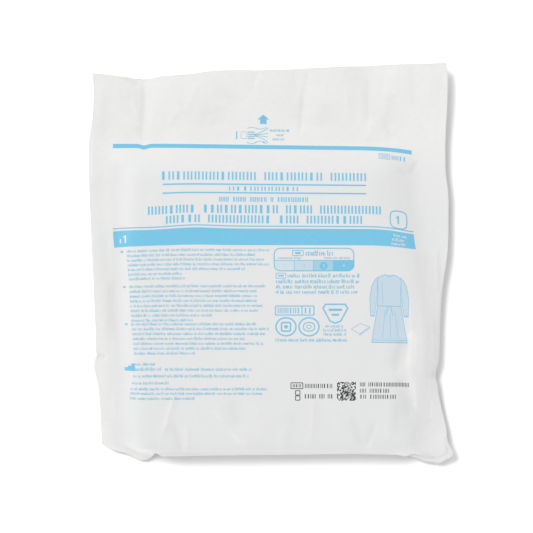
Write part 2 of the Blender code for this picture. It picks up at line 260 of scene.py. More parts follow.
@dataclass(frozen=True)
class FilmFinish:
    """Matt white film: cooler over the stack, lighter where it is free or lifted, and ribbed along its sealed margins.
    Its white also holds painted light and shade: painted light towards the lower left, painted shade everywhere but the
    left margin and the flap and along the curled lower end, a painted highlight on raised folds, and painted shade in
    their troughs.

    A span tells where a tone starts and where it is full: towards the right or the left of the middle, down towards
    the lower end, or aside to both. The spans of raised film and of the painted shade in troughs are shares of a full
    rise.
    """

    name: str
    over_stack: Colour = (0.700, 0.703, 0.703, 1.0)
    free: Colour = (0.764, 0.764, 0.748, 1.0)
    # Painted light: free film lighter towards the lower left, and lighter still at the lower left corner.
    painted_light_low_left: Colour = (0.790, 0.790, 0.778, 1.0)
    # Painted shade: free film darker and greyer everywhere but the left margin and the flap, the side away from the
    # light.
    painted_shade_low_right: Colour = (0.734, 0.734, 0.733, 1.0)
    # Lighter where the film rises: partly film held off the blue gown, partly a painted highlight on the ridges of the
    # folds.
    lifted: Colour = (0.782, 0.780, 0.768, 1.0)
    # Painted shade: darker film along the curled lower end, where it turns under the stack.
    painted_end_shade: Colour = (0.628, 0.630, 0.628, 1.0)
    stack_middle: Point = (-3.5 * MM, -32.0 * MM)
    stack_half: Point = (135.5 * MM, 124.0 * MM)
    soft_edge: float = 14.0 * MM
    # Spans of the painted light towards the lower left, and of the painted shade everywhere but the left margin and the
    # flap.
    painted_light_low_left_down: Span = (0.0, 40.0 * MM)
    painted_shade_low_right_across: Span = (-110.0 * MM, -70.0 * MM)
    painted_shade_low_right_down: Span = (-110.0 * MM, -70.0 * MM)
    shoulder_right: Span = (110.0 * MM, 124.0 * MM)
    shoulder_end_down: Span = (-55.0 * MM, -30.0 * MM)
    # Where the painted light at the lower left corner lies, and its share.
    painted_light_corner_left: Span = (112.0 * MM, 140.0 * MM)
    painted_light_corner_down: Span = (80.0 * MM, 105.0 * MM)
    painted_light_corner_share: float = 0.6
    # Where the painted shade along the curled lower end lies: down towards the end, aside to the ears, and down to its
    # edge.
    lower_end_down: Span = (136.0 * MM, 144.0 * MM)
    ears_aside: Span = (88.0 * MM, 108.0 * MM)
    painted_end_shade_down: Span = (149.8 * MM, 153.0 * MM)
    raised: Span = (0.3, 1.1)
    # Painted shade in the troughs of the folds: the span of trough depth over which it comes in, and how much darker it
    # makes the film.
    painted_trough_shade: Span = (0.1, 0.6)
    painted_trough_shade_share: float = 0.05
    cloud: Grain = (22.0, 2.0, (1.0, 1.0))
    cloud_levels: Span = (0.35, 0.75)
    mottle: Grain = (260.0, 3.0, (1.0, 1.0))
    mottle_levels: Span = (0.3, 0.8)
    mottle_share: float = 0.2
    thin_share: float = 0.955
    roughness: float = 0.46
    roughness_spread: float = 0.10
    seal_width: float = 8.0 * MM
    seal_full_share: float = 0.8
    rib_pitch: float = 1.7 * MM
    rib_relief: float = 0.03
    fine: Grain = (900.0, 3.0, (1.0, 0.6))
    fine_relief: float = 0.35
    mottle_relief: float = 0.2
    relief_depth: float = 0.12 * MM
    relief_strength: float = 0.4

    def beside_stack(self, bench: NodeBench) -> Wire:
        """How free the film is of the stack.

        Args:
            bench: The film's nodes.

        Returns:
            0 over the stack, 1 on the film that has nothing under it.
        """
        share: Wire | float = 0.0
        for axis, middle, half in zip(bench.axes(), self.stack_middle, self.stack_half):
            away = bench.maths("ABSOLUTE", axis - middle)
            share = bench.range(away, half - self.soft_edge, half) + share
        return bench.maths("MINIMUM", share, 1.0)

    def white(self, bench: NodeBench) -> Wire:
        """The film's white, by what lies under it and how it is creased, with painted light and shade laid into it.

        Args:
            bench: The film's nodes.

        Returns:
            The colour, before it is mottled.
        """
        right, up = bench.axes()
        down, rise = -up, bench.attribute("raised")
        # Painted light: the free film lightens towards the lower left.
        free = bench.blend(bench.range(down, *self.painted_light_low_left_down), self.free, self.painted_light_low_left)
        # Painted shade: the free film turns darker and greyer towards the right and the lower end.
        painted_shade_low_right = bench.range(right, *self.painted_shade_low_right_across) * bench.range(down, *self.painted_shade_low_right_down)
        free = bench.blend(painted_shade_low_right, free, self.painted_shade_low_right)
        white = bench.blend(self.beside_stack(bench), self.over_stack, free)
        shoulder = bench.range(right, *self.shoulder_right) * (1.0 - bench.range(down, *self.shoulder_end_down))
        white = bench.blend(shoulder, white, free)
        # Painted light: the lower left corner is lightened further.
        corner = bench.range(-right, *self.painted_light_corner_left) * self.painted_light_corner_share * bench.range(down, *self.painted_light_corner_down)
        white = bench.blend(corner, white, self.painted_light_low_left)
        # Painted shade: between the ears the curled lower end keeps the colour over the stack and darkens towards its
        # edge.
        aside = bench.maths("ABSOLUTE", right)
        between_ears = bench.range(down, *self.lower_end_down) * (1.0 - bench.range(aside, *self.ears_aside))
        painted_end_shade = bench.blend(bench.range(down, *self.painted_end_shade_down), self.over_stack, self.painted_end_shade)
        white = bench.blend(between_ears, white, painted_end_shade)
        # Lighter on raised folds: partly film held off the gown, partly a painted highlight on the ridges.
        white = bench.blend(bench.range(rise, *self.raised), white, self.lifted)
        # Painted shade: the film is darkened in the troughs of the folds.
        kept = 1.0 - self.painted_trough_shade_share * bench.range(-rise, *self.painted_trough_shade)
        return bench.node("ShaderNodeVectorMath", {"operation": "SCALE"}, {0: white, "Scale": kept})

    def build(self) -> bpy.types.Material:
        """Returns the film's material."""
        bench = NodeBench.material(self.name)
        cloud = bench.range(bench.grain(*self.cloud), *self.cloud_levels)
        mottle = bench.range(bench.grain(*self.mottle), *self.mottle_levels)
        thin = (*(self.thin_share * channel for channel in self.over_stack[:3]), 1.0)
        bench.set(
            Base_Color=bench.blend((cloud + mottle) * self.mottle_share, self.white(bench), thin),
            Roughness=self.roughness + self.roughness_spread * mottle,
            IOR=PLASTIC_IOR,
        )
        edge = bench.attribute("edge")
        wave = bench.maths("SINE", edge * (math.tau / self.rib_pitch))
        on_seal = 1.0 - bench.range(edge, self.seal_full_share * self.seal_width, self.seal_width)
        fine = bench.grain(*self.fine) * self.fine_relief
        relief = on_seal * wave * self.rib_relief + fine + mottle * self.mottle_relief
        bench.bump(relief, self.relief_depth, self.relief_strength)
        return bench.owner


@dataclass(frozen=True)
class InkFinish:
    """Flat printing ink on film, a little uneven in its density."""

    ink: Ink
    film_tone: float = 0.7
    uneven: float = 0.05
    density: Grain = (420.0, 3.0, (1.0, 1.0))
    density_levels: Span = (0.35, 0.75)
    roughness: float = 0.5
    roughness_spread: float = 0.08

    def build(self) -> bpy.types.Material:
        """Returns the ink's material."""
        bench = NodeBench.material(f"{self.ink.name.lower()}_print")
        density = bench.range(bench.grain(*self.density), *self.density_levels)
        thin = (*(channel + self.uneven * (self.film_tone - channel) for channel in self.ink.colour[:3]), 1.0)
        bench.set(
            Base_Color=bench.blend(density, self.ink.colour, thin),
            Roughness=self.roughness + self.roughness_spread * density,
            IOR=PLASTIC_IOR,
        )
        return bench.owner


@dataclass(frozen=True)
class GownFinish:
    """Blue spun-bonded cloth with rows of small bond points."""

    colour: Colour = (0.19, 0.42, 0.62, 1.0)
    pale_colour: Colour = (0.30, 0.54, 0.72, 1.0)
    fibres: Grain = (1400.0, 4.0, (1.0, 0.35))
    fibre_share: float = 0.7
    fibre_relief: float = 0.5
    bond_pitch: float = 1.6 * MM
    bond_scatter: float = 0.15
    bond_edge: Span = (0.16, 0.3)
    roughness: float = 0.8
    roughness_spread: float = 0.1
    relief_depth: float = 0.15 * MM

    def build(self) -> bpy.types.Material:
        """Returns the cloth's material."""
        bench = NodeBench.material("spunbond_cloth")
        fibres = bench.grain(*self.fibres)
        sockets = {"Vector": bench.place(), "Scale": 1.0 / self.bond_pitch, "Randomness": self.bond_scatter}
        bond = bench.range(bench.node("ShaderNodeTexVoronoi", sockets=sockets), *self.bond_edge)
        pale = fibres * self.fibre_share + (1.0 - bond) * (1.0 - self.fibre_share)
        bench.set(
            Base_Color=bench.blend(pale, self.colour, self.pale_colour),
            Roughness=self.roughness + self.roughness_spread * fibres,
        )
        bench.bump(bond + fibres * self.fibre_relief, self.relief_depth)
        return bench.owner


# --------------------------------------------------------------------------------------------------------------------
# Modelling steps
# --------------------------------------------------------------------------------------------------------------------


class Workbench:
    """Object and edit mode steps that the pieces share."""

    @staticmethod
    def take(obj: bpy.types.Object) -> None:
        """Selects one object alone and makes it active.

        Args:
            obj: The object.
        """
        bpy.ops.object.select_all(action="DESELECT")
        obj.select_set(True)
        bpy.context.view_layer.objects.active = obj

    @staticmethod
    @contextmanager
    def editing(obj: bpy.types.Object) -> Iterator[None]:
        """Edit mode on one object, with nothing of it selected at the start.

        Args:
            obj: The object.

        Yields:
            Nothing, while edit mode lasts.
        """
        Workbench.take(obj)
        bpy.ops.object.mode_set(mode="EDIT")
        bpy.ops.mesh.select_all(action="DESELECT")
        yield
        bpy.ops.object.mode_set(mode="OBJECT")

    @staticmethod
    def choose_faces(obj: bpy.types.Object, test: Callable[[bpy.types.MeshPolygon], bool]) -> None:
        """Selects faces, while in edit mode.

        Args:
            obj: The object.
            test: True for a face that is selected.
        """
        bpy.ops.object.mode_set(mode="OBJECT")
        for polygon in obj.data.polygons:
            polygon.select = test(polygon)
        bpy.ops.object.mode_set(mode="EDIT")

    @staticmethod
    def all_to_quads(degrees: float) -> None:
        """Joins all triangles in pairs, across edges that bend by the angle at most.

        Args:
            degrees: The angle, for the bend and for the quad's shape.
        """
        wide = math.radians(degrees)
        bpy.ops.mesh.select_all(action="SELECT")
        bpy.ops.mesh.tris_convert_to_quads(face_threshold=wide, shape_threshold=wide)

    @staticmethod
    def apply(obj: bpy.types.Object, kind: str, **settings: Any) -> None:
        """Adds a modifier and applies it.

        Args:
            obj: The object.
            kind: The modifier's type.
            settings: Its properties.
        """
        Workbench.take(obj)
        modifier = obj.modifiers.new(kind.lower(), kind)
        for key, value in settings.items():
            setattr(modifier, key, value)
        bpy.ops.object.modifier_apply(modifier=modifier.name)

    @staticmethod
    def copy_of(node: str, name: str) -> bpy.types.Object:
        """A copy of a CAD node's mesh with its loose triangles joined.

        Args:
            node: The node that is copied.
            name: The new object's name.

        Returns:
            The copy, at the origin as the node is.
        """
        obj = bpy.data.objects.new(name, frame["nodes"][node].data.copy())
        obj.data.materials.clear()
        bpy.context.scene.collection.objects.link(obj)
        with Workbench.editing(obj):
            bpy.ops.mesh.select_all(action="SELECT")
            bpy.ops.mesh.remove_doubles(threshold=MERGE_WITHIN)
        return obj

    @staticmethod
    def finish(obj: bpy.types.Object, material: bpy.types.Material, slot: str) -> None:
        """Gives a piece its material, smooth shading and its body.

        Args:
            obj: The piece.
            material: What it is made of.
            slot: Not used.
        """
        obj.data.materials.clear()
        obj.data.materials.append(material)
        obj.data.shade_smooth()
        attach(obj, BODY)


def each(draw: Callable[..., None], rows: Sequence[Sequence[Any]], *rest: Any) -> None:
    """Draws a shape for every row of a table.

    Args:
        draw: The method that draws one.
        rows: What it is given, row by row.
        rest: What it is given after each row.
    """
    for row in rows:
        draw(*row, *rest)


def ease(share: np.ndarray | float) -> np.ndarray | float:
    """0 to 1 with no corner at either end."""
    share = np.clip(share, 0.0, 1.0)
    return share * share * (3.0 - 2.0 * share)


@dataclass(frozen=True)
class Fold:
    """One crease of the film, in millimetres: a ridge where rise is above 0, a trough where it is below.

    Run downwards, a lean above 0 makes its left side the wider one, and a bow above 0 bends it to the right.
    """

    x0: float
    y0: float
    x1: float
    y1: float
    half_width: float
    rise: float
    lean: float = 0.0
    bow: float = 0.0
    crispness: ClassVar[float] = 0.12
    fade_share: ClassVar[float] = 0.34
    start_share: ClassVar[float] = 0.8
    widening: ClassVar[float] = 0.4
    end_margin: ClassVar[float] = 0.05
    side_margin: ClassVar[float] = 2.0

    def shares(self, x: np.ndarray, y: np.ndarray) -> tuple[np.ndarray, np.ndarray]:
        """Where points lie in the fold's own terms.

        Args:
            x: Places across the pouch, in millimetres.
            y: Places along it.

        Returns:
            How far along the fold each point is, 0 to 1, and how many half widths it is beside it.
        """
        run_x, run_y = self.x1 - self.x0, self.y1 - self.y0
        length = math.hypot(run_x, run_y)
        along = ((x - self.x0) * run_x + (y - self.y0) * run_y) / length**2
        across = ((y - self.y0) * run_x - (x - self.x0) * run_y) / length
        inside = np.clip(along, 0.0, 1.0)
        across = across - self.bow * 4.0 * inside * (1.0 - inside)
        width = self.half_width * (self.start_share + self.widening * inside) * (1.0 - self.lean * np.sign(across))
        return along, across / width

    def lift(self, x: np.ndarray, y: np.ndarray) -> np.ndarray:
        """How far the fold moves the film at each point.

        Args:
            x: Places across the pouch, in millimetres.
            y: Places along it.

        Returns:
            The rise there, in millimetres.
        """
        along, beside = self.shares(x, y)
        fade = ease(along / self.fade_share) * ease((1.0 - along) / self.fade_share)
        soft = math.sqrt(self.crispness)
        return self.rise * fade * np.exp(soft - np.sqrt(beside**2 + self.crispness))

    def near(self, x: np.ndarray, y: np.ndarray) -> np.ndarray:
        """Where the points lie on the fold or close beside it."""
        along, beside = self.shares(x, y)
        return (np.abs(along - 0.5) < 0.5 + self.end_margin) & (np.abs(beside) < self.side_margin)


@dataclass(frozen=True)
class Pull:
    """A small spot where both webs are drawn aside, in millimetres."""

    x: float
    y: float
    reach: float
    dx: float
    dy: float
    dz: float = 0.0
    length: float = 1.0

    def moved(self, points: np.ndarray) -> np.ndarray:
        """Pulls points.

        Args:
            points: Rows of x, y and z, in millimetres.

        Returns:
            The same points after the pull.
        """
        distance = np.hypot(points[:, 0] - self.x, (points[:, 1] - self.y) / self.length)
        share = np.exp(-((distance / self.reach) ** 2))
        return points + share[:, None] * np.array([self.dx, self.dy, self.dz])


# Fine folds of the film, beside the large ones that the CAD solids have, and the pulls of its edge: each row holds the
# fields of a Fold or a Pull, in their order.
FLAP_FOLDS: Table = (
    (-103.8, 155.0, -105.9, 91.6, 1.7, -2.47, 0.35), (-113.2, 137.1, -107.5, 114.3, 2.2, 1.17),
    (-122.7, 151.5, -106.5, 145.0, 2.0, -1.56), (-85.5, 111.1, -70.9, 127.3, 2.6, 0.94, 0, 1.0),
    (-70.8, 122.2, -57.0, 149.9, 3.0, 0.72, 0, -1.0), (-53.0, 106.1, -40.0, 135.4, 3.2, 0.86, 0, 1.2),
    (-9.1, 161.1, -17.2, 135.1, 2.2, -1.04, 0.2), (18.5, 161.2, 20.2, 133.6, 2.2, -0.91),
    (31.5, 163.0, 23.4, 124.0, 1.5, -1.3, 0.3), (25.9, 140.3, 23.4, 102.9, 1.3, -1.95, 0.35),
    (60.7, 148.2, 64.0, 109.3, 2.6, 0.91), (78.6, 164.5, 79.4, 101.1, 2.2, -1.56, 0.4),
    (93.2, 146.6, 93.2, 119.0, 2.2, 1.3), (89.3, 130.6, 106.4, 91.6, 2.2, 1.56, 0, -1.0),
    (91.5, 121.0, 101.5, 96.5, 3.6, -2.4, 0, -1.0), (-118.5, 122.0, -105.5, 108.0, 2.4, 1.2, 0, -1.5),
    (-48.0, 142.0, -20.0, 128.0, 4.0, -1.3), (-52.0, 128.0, -46.0, 108.0, 4.0, -1.5),
    (45.0, 136.0, 42.0, 106.0, 9.0, -1.6), (77.1, 96.4, 83.6, 120.8, 5.0, 1.2),
    (113.9, 163.9, 117.2, 118.6, 4.0, -1.44), (128.3, 162.0, 126.7, 123.2, 5.0, 1.44),
    (136.7, 159.9, 136.7, 100.3, 1.6, -0.91), (-135.7, 149.9, -140.6, 101.1, 5.0, 1.2),
    (-144.2, 117.7, -145.8, 52.6, 3.0, 0.84),
)
SIDE_FOLDS: Table = (
    (-57.2, 26.1, -52.3, -28.4, 6.0, 0.67), (-76.4, 11.7, -71.6, -60.5, 6.0, -0.6),
    (-25.1, 22.9, -28.3, -20.4, 6.0, -0.6), (39.1, -4.4, 35.9, -76.6, 7.0, 0.6),
    (-97.4, 59.9, -83.0, 26.2, 4.0, 0.96), (-89.4, 80.8, -76.5, 55.1, 4.0, -0.84),
    (104.0, -24.0, 105.5, -62.0, 3.0, -1.6), (107.5, -57.0, 99.8, -90.0, 2.8, -5.2, 0.1, -2.0),
    (100.0, -86.0, 112.0, -126.0, 3.0, -4.8, 0.1, 1.0), (124.1, -9.3, 121.6, -61.2, 2.4, -2.03),
    (-128.2, -103.3, -124.2, -134.1, 2.6, 1.45), (99.0, 77.9, 113.5, 73.0, 1.4, -2.32, 0, -1.0),
    (112.9, 71.5, 119.4, 85.3, 1.4, -2.03, 0, 0.6), (88.2, 76.0, 90.6, 26.2, 5.0, -1.2),
    (107.5, 71.7, 111.5, 31.2, 3.5, 1.2), (136.5, 20.0, 136.1, -32.9, 1.0, -1.45),
    (127.6, 15.1, 126.0, -28.8, 2.0, -1.16), (120.2, 13.5, 119.4, -38.6, 2.4, -2.32),
    (112.0, -22.0, 110.5, -72.0, 3.4, 2.6), (111.5, -50.0, 109.0, -94.0, 5.6, 4.1),
    (110.5, -82.0, 117.5, -126.0, 4.6, 4.6), (125.5, -36.0, 125.0, -88.0, 6.0, -1.8),
    (117.9, -82.5, 129.3, -92.3, 1.5, -1.01, 0, 0.8), (124.4, -93.9, 135.8, -85.8, 1.5, -1.16),
    (126.7, 2.1, 128.3, -69.0, 2.4, 1.16), (130.1, -53.2, 129.3, -87.4, 2.0, 1.16),
    (-130.4, -2.8, -128.7, -71.1, 2.4, -2.61, 0.2), (-121.7, 2.1, -119.3, -74.1, 3.6, 0.5),
    (-144.2, -74.0, -132.8, -75.6, 1.5, -1.74), (-141.8, -61.4, -143.4, -126.5, 3.0, 0.84),
    (-124.6, 96.4, -126.2, 20.0, 4.0, 0.3), (-112.7, 92.1, -109.5, 31.8, 4.0, 0.3),
)
END_FOLDS: Table = (
    (-91.7, -144.4, -96.2, -160.7, 1.95, -5.07), (19.2, -115.7, 16.8, -147.9, 3.9, -1.36),
    (47.4, -109.2, 57.1, -141.5, 4.42, 1.1, 0, 1.0), (-122.5, -111.4, -112.8, -138.9, 2.6, 1.7),
    (-76.0, -99.5, -88.9, -144.7, 2.47, 2.1, -0.2, -0.6), (-79.6, -124.4, -69.9, -156.8, 2.47, -2.9, 0.35),
    (-68.2, -129.2, -67.4, -151.9, 2.86, 1.9), (-52.6, -109.2, -13.9, -157.6, 4.4, 2.1, -0.2),
    (-34.0, -104.2, -25.1, -138.0, 4.94, -2.4), (-13.1, -109.2, -7.4, -146.3, 4.42, 1.3),
    (10.4, -129.2, 8.0, -155.2, 3.12, 1.6, -0.3), (33.6, -99.4, 30.4, -152.5, 2.6, 2.1, -0.3),
    (64.6, -119.3, 72.7, -151.7, 2.86, -2.73), (84.8, -124.1, 74.3, -151.7, 2.86, -2.34),
    (86.7, -124.6, 77.0, -157.0, 2.86, 1.9, -0.3), (95.8, -107.6, 92.6, -149.5, 4.16, 1.4),
    (99.8, -106.0, 101.4, -143.1, 2.34, -2.73), (96.6, -91.5, 119.2, -151.2, 4.42, -2.73, 0.45, 2.0),
    (121.6, -114.8, 123.3, -152.2, 4.42, 1.5), (110.9, -93.6, 120.6, -135.7, 3.38, 1.5),
    (130.1, -107.0, 129.3, -129.7, 2.34, 1.7), (119.7, -151.2, 136.0, -160.1, 1.82, -1.95),
    (140.9, -134.9, 137.6, -157.7, 3.25, 1.3),
)
FINE_FOLDS = [Fold(*row) for row in FLAP_FOLDS + SIDE_FOLDS + END_FOLDS]
PULLS = [
    Pull(*row)
    for row in (
        (-92.0, -156.0, 5.0, 0.0, -1.2), (-93.2, -157.0, 2.3, 0.2, 4.6, 0.8), (-117.0, -160.0, 11.0, 0.0, 2.2),
        (-99.0, -161.0, 5.0, 1.5, -0.8), (-143.0, -74.0, 2.4, 1.2, 0.0), (-144.0, -84.0, 7.0, -1.2, 0.0),
        (-70.0, 165.0, 70.0, 0.0, 0.8), (60.0, 165.0, 70.0, 0.0, 0.4), (147.0, 163.0, 22.0, 2.6, 2.2),
        (-20.0, -158.0, 70.0, 0.0, 1.3), (62.0, -158.0, 36.0, 0.0, 0.9), (115.5, -154.0, 8.0, 0.0, -3.0),
        (109.0, -156.0, 5.5, 0.0, -1.7), (-104.0, -161.0, 9.0, 0.0, -1.1), (115.0, -158.0, 4.5, 0.0, 1.7),
        (120.5, -159.5, 3.5, 0.0, 0.7), (127.5, -161.0, 4.5, 0.0, -0.9), (136.0, -161.5, 4.5, 0.0, -1.9),
        (144.0, -160.0, 3.8, -0.3, 1.7), (149.0, -156.0, 5.0, 1.2, 0.2), (147.5, -151.0, 5.0, 0.5, 0.0),
        (116.0, -66.0, 10.0, 2.4, 0.0, 0.0, 3.4), (134.0, -163.5, 7.0, 0.0, 1.6), (148.5, -145.0, 9.0, -2.6, 0.0),
        (146.0, -156.5, 5.0, 0.6, -0.4), (138.0, -87.0, 6.0, -1.8, 0.0), (136.5, -92.5, 3.0, -1.2, 0.0),
        (-138.0, -130.0, 24.0, -1.0, 0.0), (142.0, -151.0, 16.0, 0.0, 0.0, 4.5),
    )
]


@dataclass
class Film:
    """What both webs share: the fine folds, the ripples, the pulls of the edge, and film of one thickness.

    Ripples are noise: a slice is where it is cut, and the lengths of the finer ones are shares of the first.
    """

    thickness: float = 0.25 * MM
    ripple: float = 0.5
    ripple_lengths: Point = (18.0, 32.0)
    ripple_slice: float = 3.7
    finer_share: float = 0.35
    finer_lengths: Point = (0.4, 0.45)
    finer_slice: float = 9.1

    @staticmethod
    def waves(x: np.ndarray, y: np.ndarray, wide: float, long: float, height: float) -> np.ndarray:
        """Smooth noise from about -1 to 1 at each point.

        Args:
            x: Places across the pouch, in millimetres.
            y: Places along it.
            wide: The waves' length across.
            long: Their length along.
            height: Which slice of the noise is taken.

        Returns:
            The noise's values.
        """
        return np.array([noise.noise(Vector((a / wide, b / long, height))) for a, b in zip(x, y)])

    def lift(self, x: np.ndarray, y: np.ndarray) -> np.ndarray:
        """How far fine folds and ripples move the film at each point.

        Args:
            x: Places across the pouch, in millimetres.
            y: Places along it.

        Returns:
            The rises there, in millimetres.
        """
        (wide, long), (finer_wide, finer_long) = self.ripple_lengths, self.finer_lengths
        soft = self.waves(x, y, wide, long, self.ripple_slice)
        finer = self.waves(x, y, finer_wide * wide, finer_long * long, self.finer_slice)
        lifted = self.ripple * (soft + self.finer_share * finer)
        for fold in FINE_FOLDS:
            lifted += fold.lift(x, y)
        return lifted

    @staticmethod
    def rows_of(items: bpy.types.bpy_prop_collection, name: str, kind: type = float, width: int = 3) -> np.ndarray:
        """A field of a mesh's points, edges or faces.

        Args:
            items: The points, edges or faces.
            name: The field.
            kind: The type of its numbers.
            width: How many it has.

        Returns:
            A row of numbers for each item.
        """
        flat = np.empty(width * len(items), dtype=kind)
        items.foreach_get(name, flat)
        return flat.reshape(-1, width)

    @staticmethod
    def write_points(obj: bpy.types.Object, points: np.ndarray) -> None:
        """Moves the mesh's points to places in millimetres."""
        obj.data.vertices.foreach_set("co", (points * MM).ravel())
        obj.data.update()

    @staticmethod
    def rim_of(obj: bpy.types.Object) -> list[int]:
        """The points on the sheet's edge.

        Args:
            obj: The sheet.

        Returns:
            Their numbers.
        """
        uses: dict[tuple[int, int], int] = {}
        for polygon in obj.data.polygons:
            for key in polygon.edge_keys:
                uses[key] = uses.get(key, 0) + 1
        return sorted({index for key, count in uses.items() if count == 1 for index in key})

    def finish_sheet(self, obj: bpy.types.Object, points: np.ndarray, offset: float) -> None:
        """Pulls the sheet, marks how far each point is from its edge, and gives it its thickness.

        Args:
            obj: The sheet.
            points: The places of its points before the pulls, in millimetres.
            offset: -1 for thickness below the sheet, 1 for thickness above it.
        """
        for pull in PULLS:
            points = pull.moved(points)
        self.write_points(obj, points)
        mesh, rim = obj.data, self.rim_of(obj)
        tree = kdtree.KDTree(len(rim))
        for k, index in enumerate(rim):
            tree.insert(mesh.vertices[index].co, k)
        tree.balance()
        edge = mesh.attributes.new("edge", "FLOAT", "POINT")
        edge.data.foreach_set("value", [tree.find(vertex.co)[2] for vertex in mesh.vertices])
        Workbench.apply(obj, "SOLIDIFY", thickness=self.thickness, offset=offset)


@dataclass
class FrontWeb(Film):
    """The printed film: the outer skin of its CAD solid, rounded, folded and given a film's thickness.

    Slacks, drops, rises and widths are in millimetres. Heights are the film's own, over the ground.
    """

    rim_share: float = 1.2
    quad_angle: float = 70.0
    rounding: int = 2
    crisp_width: float = 3.1
    # How deep a trough may be over the stack and beside it, and the heights between which one gives way to the other.
    stack_slack: float = 1.9
    free_slack: float = 4.0
    stack_from: float = 13.0
    soft_rise: float = 6.0
    # How often heights are evened, and how far that may let the film down or lift it.
    softening: int = 26
    free_drop: float = 0.3
    free_to: float = 8.0
    rim_drop: float = 3.2
    foot_rise: float = 4.5
    # The rise at which the film counts as wholly lifted.
    full_rise: float = 3.0

    def crosses_rim(self, obj: bpy.types.Object, polygon: bpy.types.MeshPolygon) -> bool:
        """Whether a face is one of the narrow ones that join the outer skin to the inner.

        Args:
            obj: The web.
            polygon: One of its triangles.

        Returns:
            True where the triangle is no higher than the wall is thick.
        """
        vertices = obj.data.vertices
        longest = max((vertices[a].co - vertices[b].co).length for a, b in polygon.edge_keys)
        return 2.0 * polygon.area / longest < self.rim_share * CAD_WALL * MM

    def outer_skin(self) -> bpy.types.Object:
        """Returns the solid's outer face alone, as quads."""
        obj = Workbench.copy_of("front_web", "front_film")
        top = max(polygon.center.z for polygon in obj.data.polygons)
        with Workbench.editing(obj):
            Workbench.choose_faces(obj, lambda polygon: self.crosses_rim(obj, polygon))
            bpy.ops.mesh.delete(type="FACE")
            Workbench.choose_faces(obj, lambda polygon: polygon.center.z == top)
            bpy.ops.mesh.select_linked()
            bpy.ops.mesh.select_all(action="INVERT")
            bpy.ops.mesh.delete(type="VERT")
            Workbench.all_to_quads(self.quad_angle)
        return obj

    def refine(self, obj: bpy.types.Object) -> None:
        """Cuts the faces on the crisp folds once more, so that the folds stay crisp.

        Args:
            obj: The sheet.
        """
        x, y, _ = self.rows_of(obj.data.polygons, "center").T / MM
        chosen = np.zeros(len(x), dtype=bool)
        for fold in FINE_FOLDS:
            if fold.half_width <= self.crisp_width:
                chosen |= fold.near(x, y)
        with Workbench.editing(obj):
            Workbench.choose_faces(obj, lambda polygon: bool(chosen[polygon.index]))
            bpy.ops.mesh.subdivide(number_cuts=1)

    def soften(self, obj: bpy.types.Object) -> None:
        """Lets the film down at the stack's rim and up at its foot, as film that spans a soft stack lies.

        Args:
            obj: The sheet.
        """
        points = self.rows_of(obj.data.vertices, "co") / MM
        heights, rim = points[:, 2].copy(), self.rim_of(obj)
        first, second = self.rows_of(obj.data.edges, "vertices", np.int32, 2).T
        size, soft = len(heights), heights.copy()
        count = np.bincount(first, minlength=size) + np.bincount(second, minlength=size)
        for _ in range(self.softening):
            total = np.bincount(first, soft[second], size) + np.bincount(second, soft[first], size)
            soft = 0.5 * (soft + total / count)
            soft[rim] = heights[rim]
        drop = self.free_drop + (self.rim_drop - self.free_drop) * ease((heights - self.free_to) / self.soft_rise)
        points[:, 2] += np.clip(soft - heights, -drop, self.foot_rise)
        self.write_points(obj, points)

    def folded(self, obj: bpy.types.Object) -> tuple[np.ndarray, np.ndarray]:
        """Lays the fine folds on the sheet, each trough no deeper than the film has room for.

        Args:
            obj: The sheet.

        Returns:
            Its points, and how far each one is moved up, in millimetres.
        """
        points = self.rows_of(obj.data.vertices, "co") / MM
        upward = np.maximum(self.rows_of(obj.data.vertices, "normal")[:, 2], 0.0) ** 2
        free = ease((self.stack_from - points[:, 2]) / self.soft_rise)
        slack = self.stack_slack + (self.free_slack - self.stack_slack) * free
        lifted = self.lift(points[:, 0], points[:, 1]) * upward
        lifted = np.where(lifted < 0.0, -slack * (1.0 - np.exp(np.minimum(lifted, 0.0) / slack)), lifted)
        points[:, 2] += lifted
        return points, lifted

    def build(self) -> bpy.types.Object:
        """Returns the finished front film."""
        obj = self.outer_skin()
        Workbench.apply(obj, "SUBSURF", levels=self.rounding, render_levels=self.rounding)
        self.soften(obj)
        self.refine(obj)
        points, lifted = self.folded(obj)
        raised = obj.data.attributes.new("raised", "FLOAT", "POINT")
        raised.data.foreach_set("value", np.clip(lifted / self.full_rise, -1.0, 1.0))
        self.finish_sheet(obj, points, offset=-1.0)
        return obj


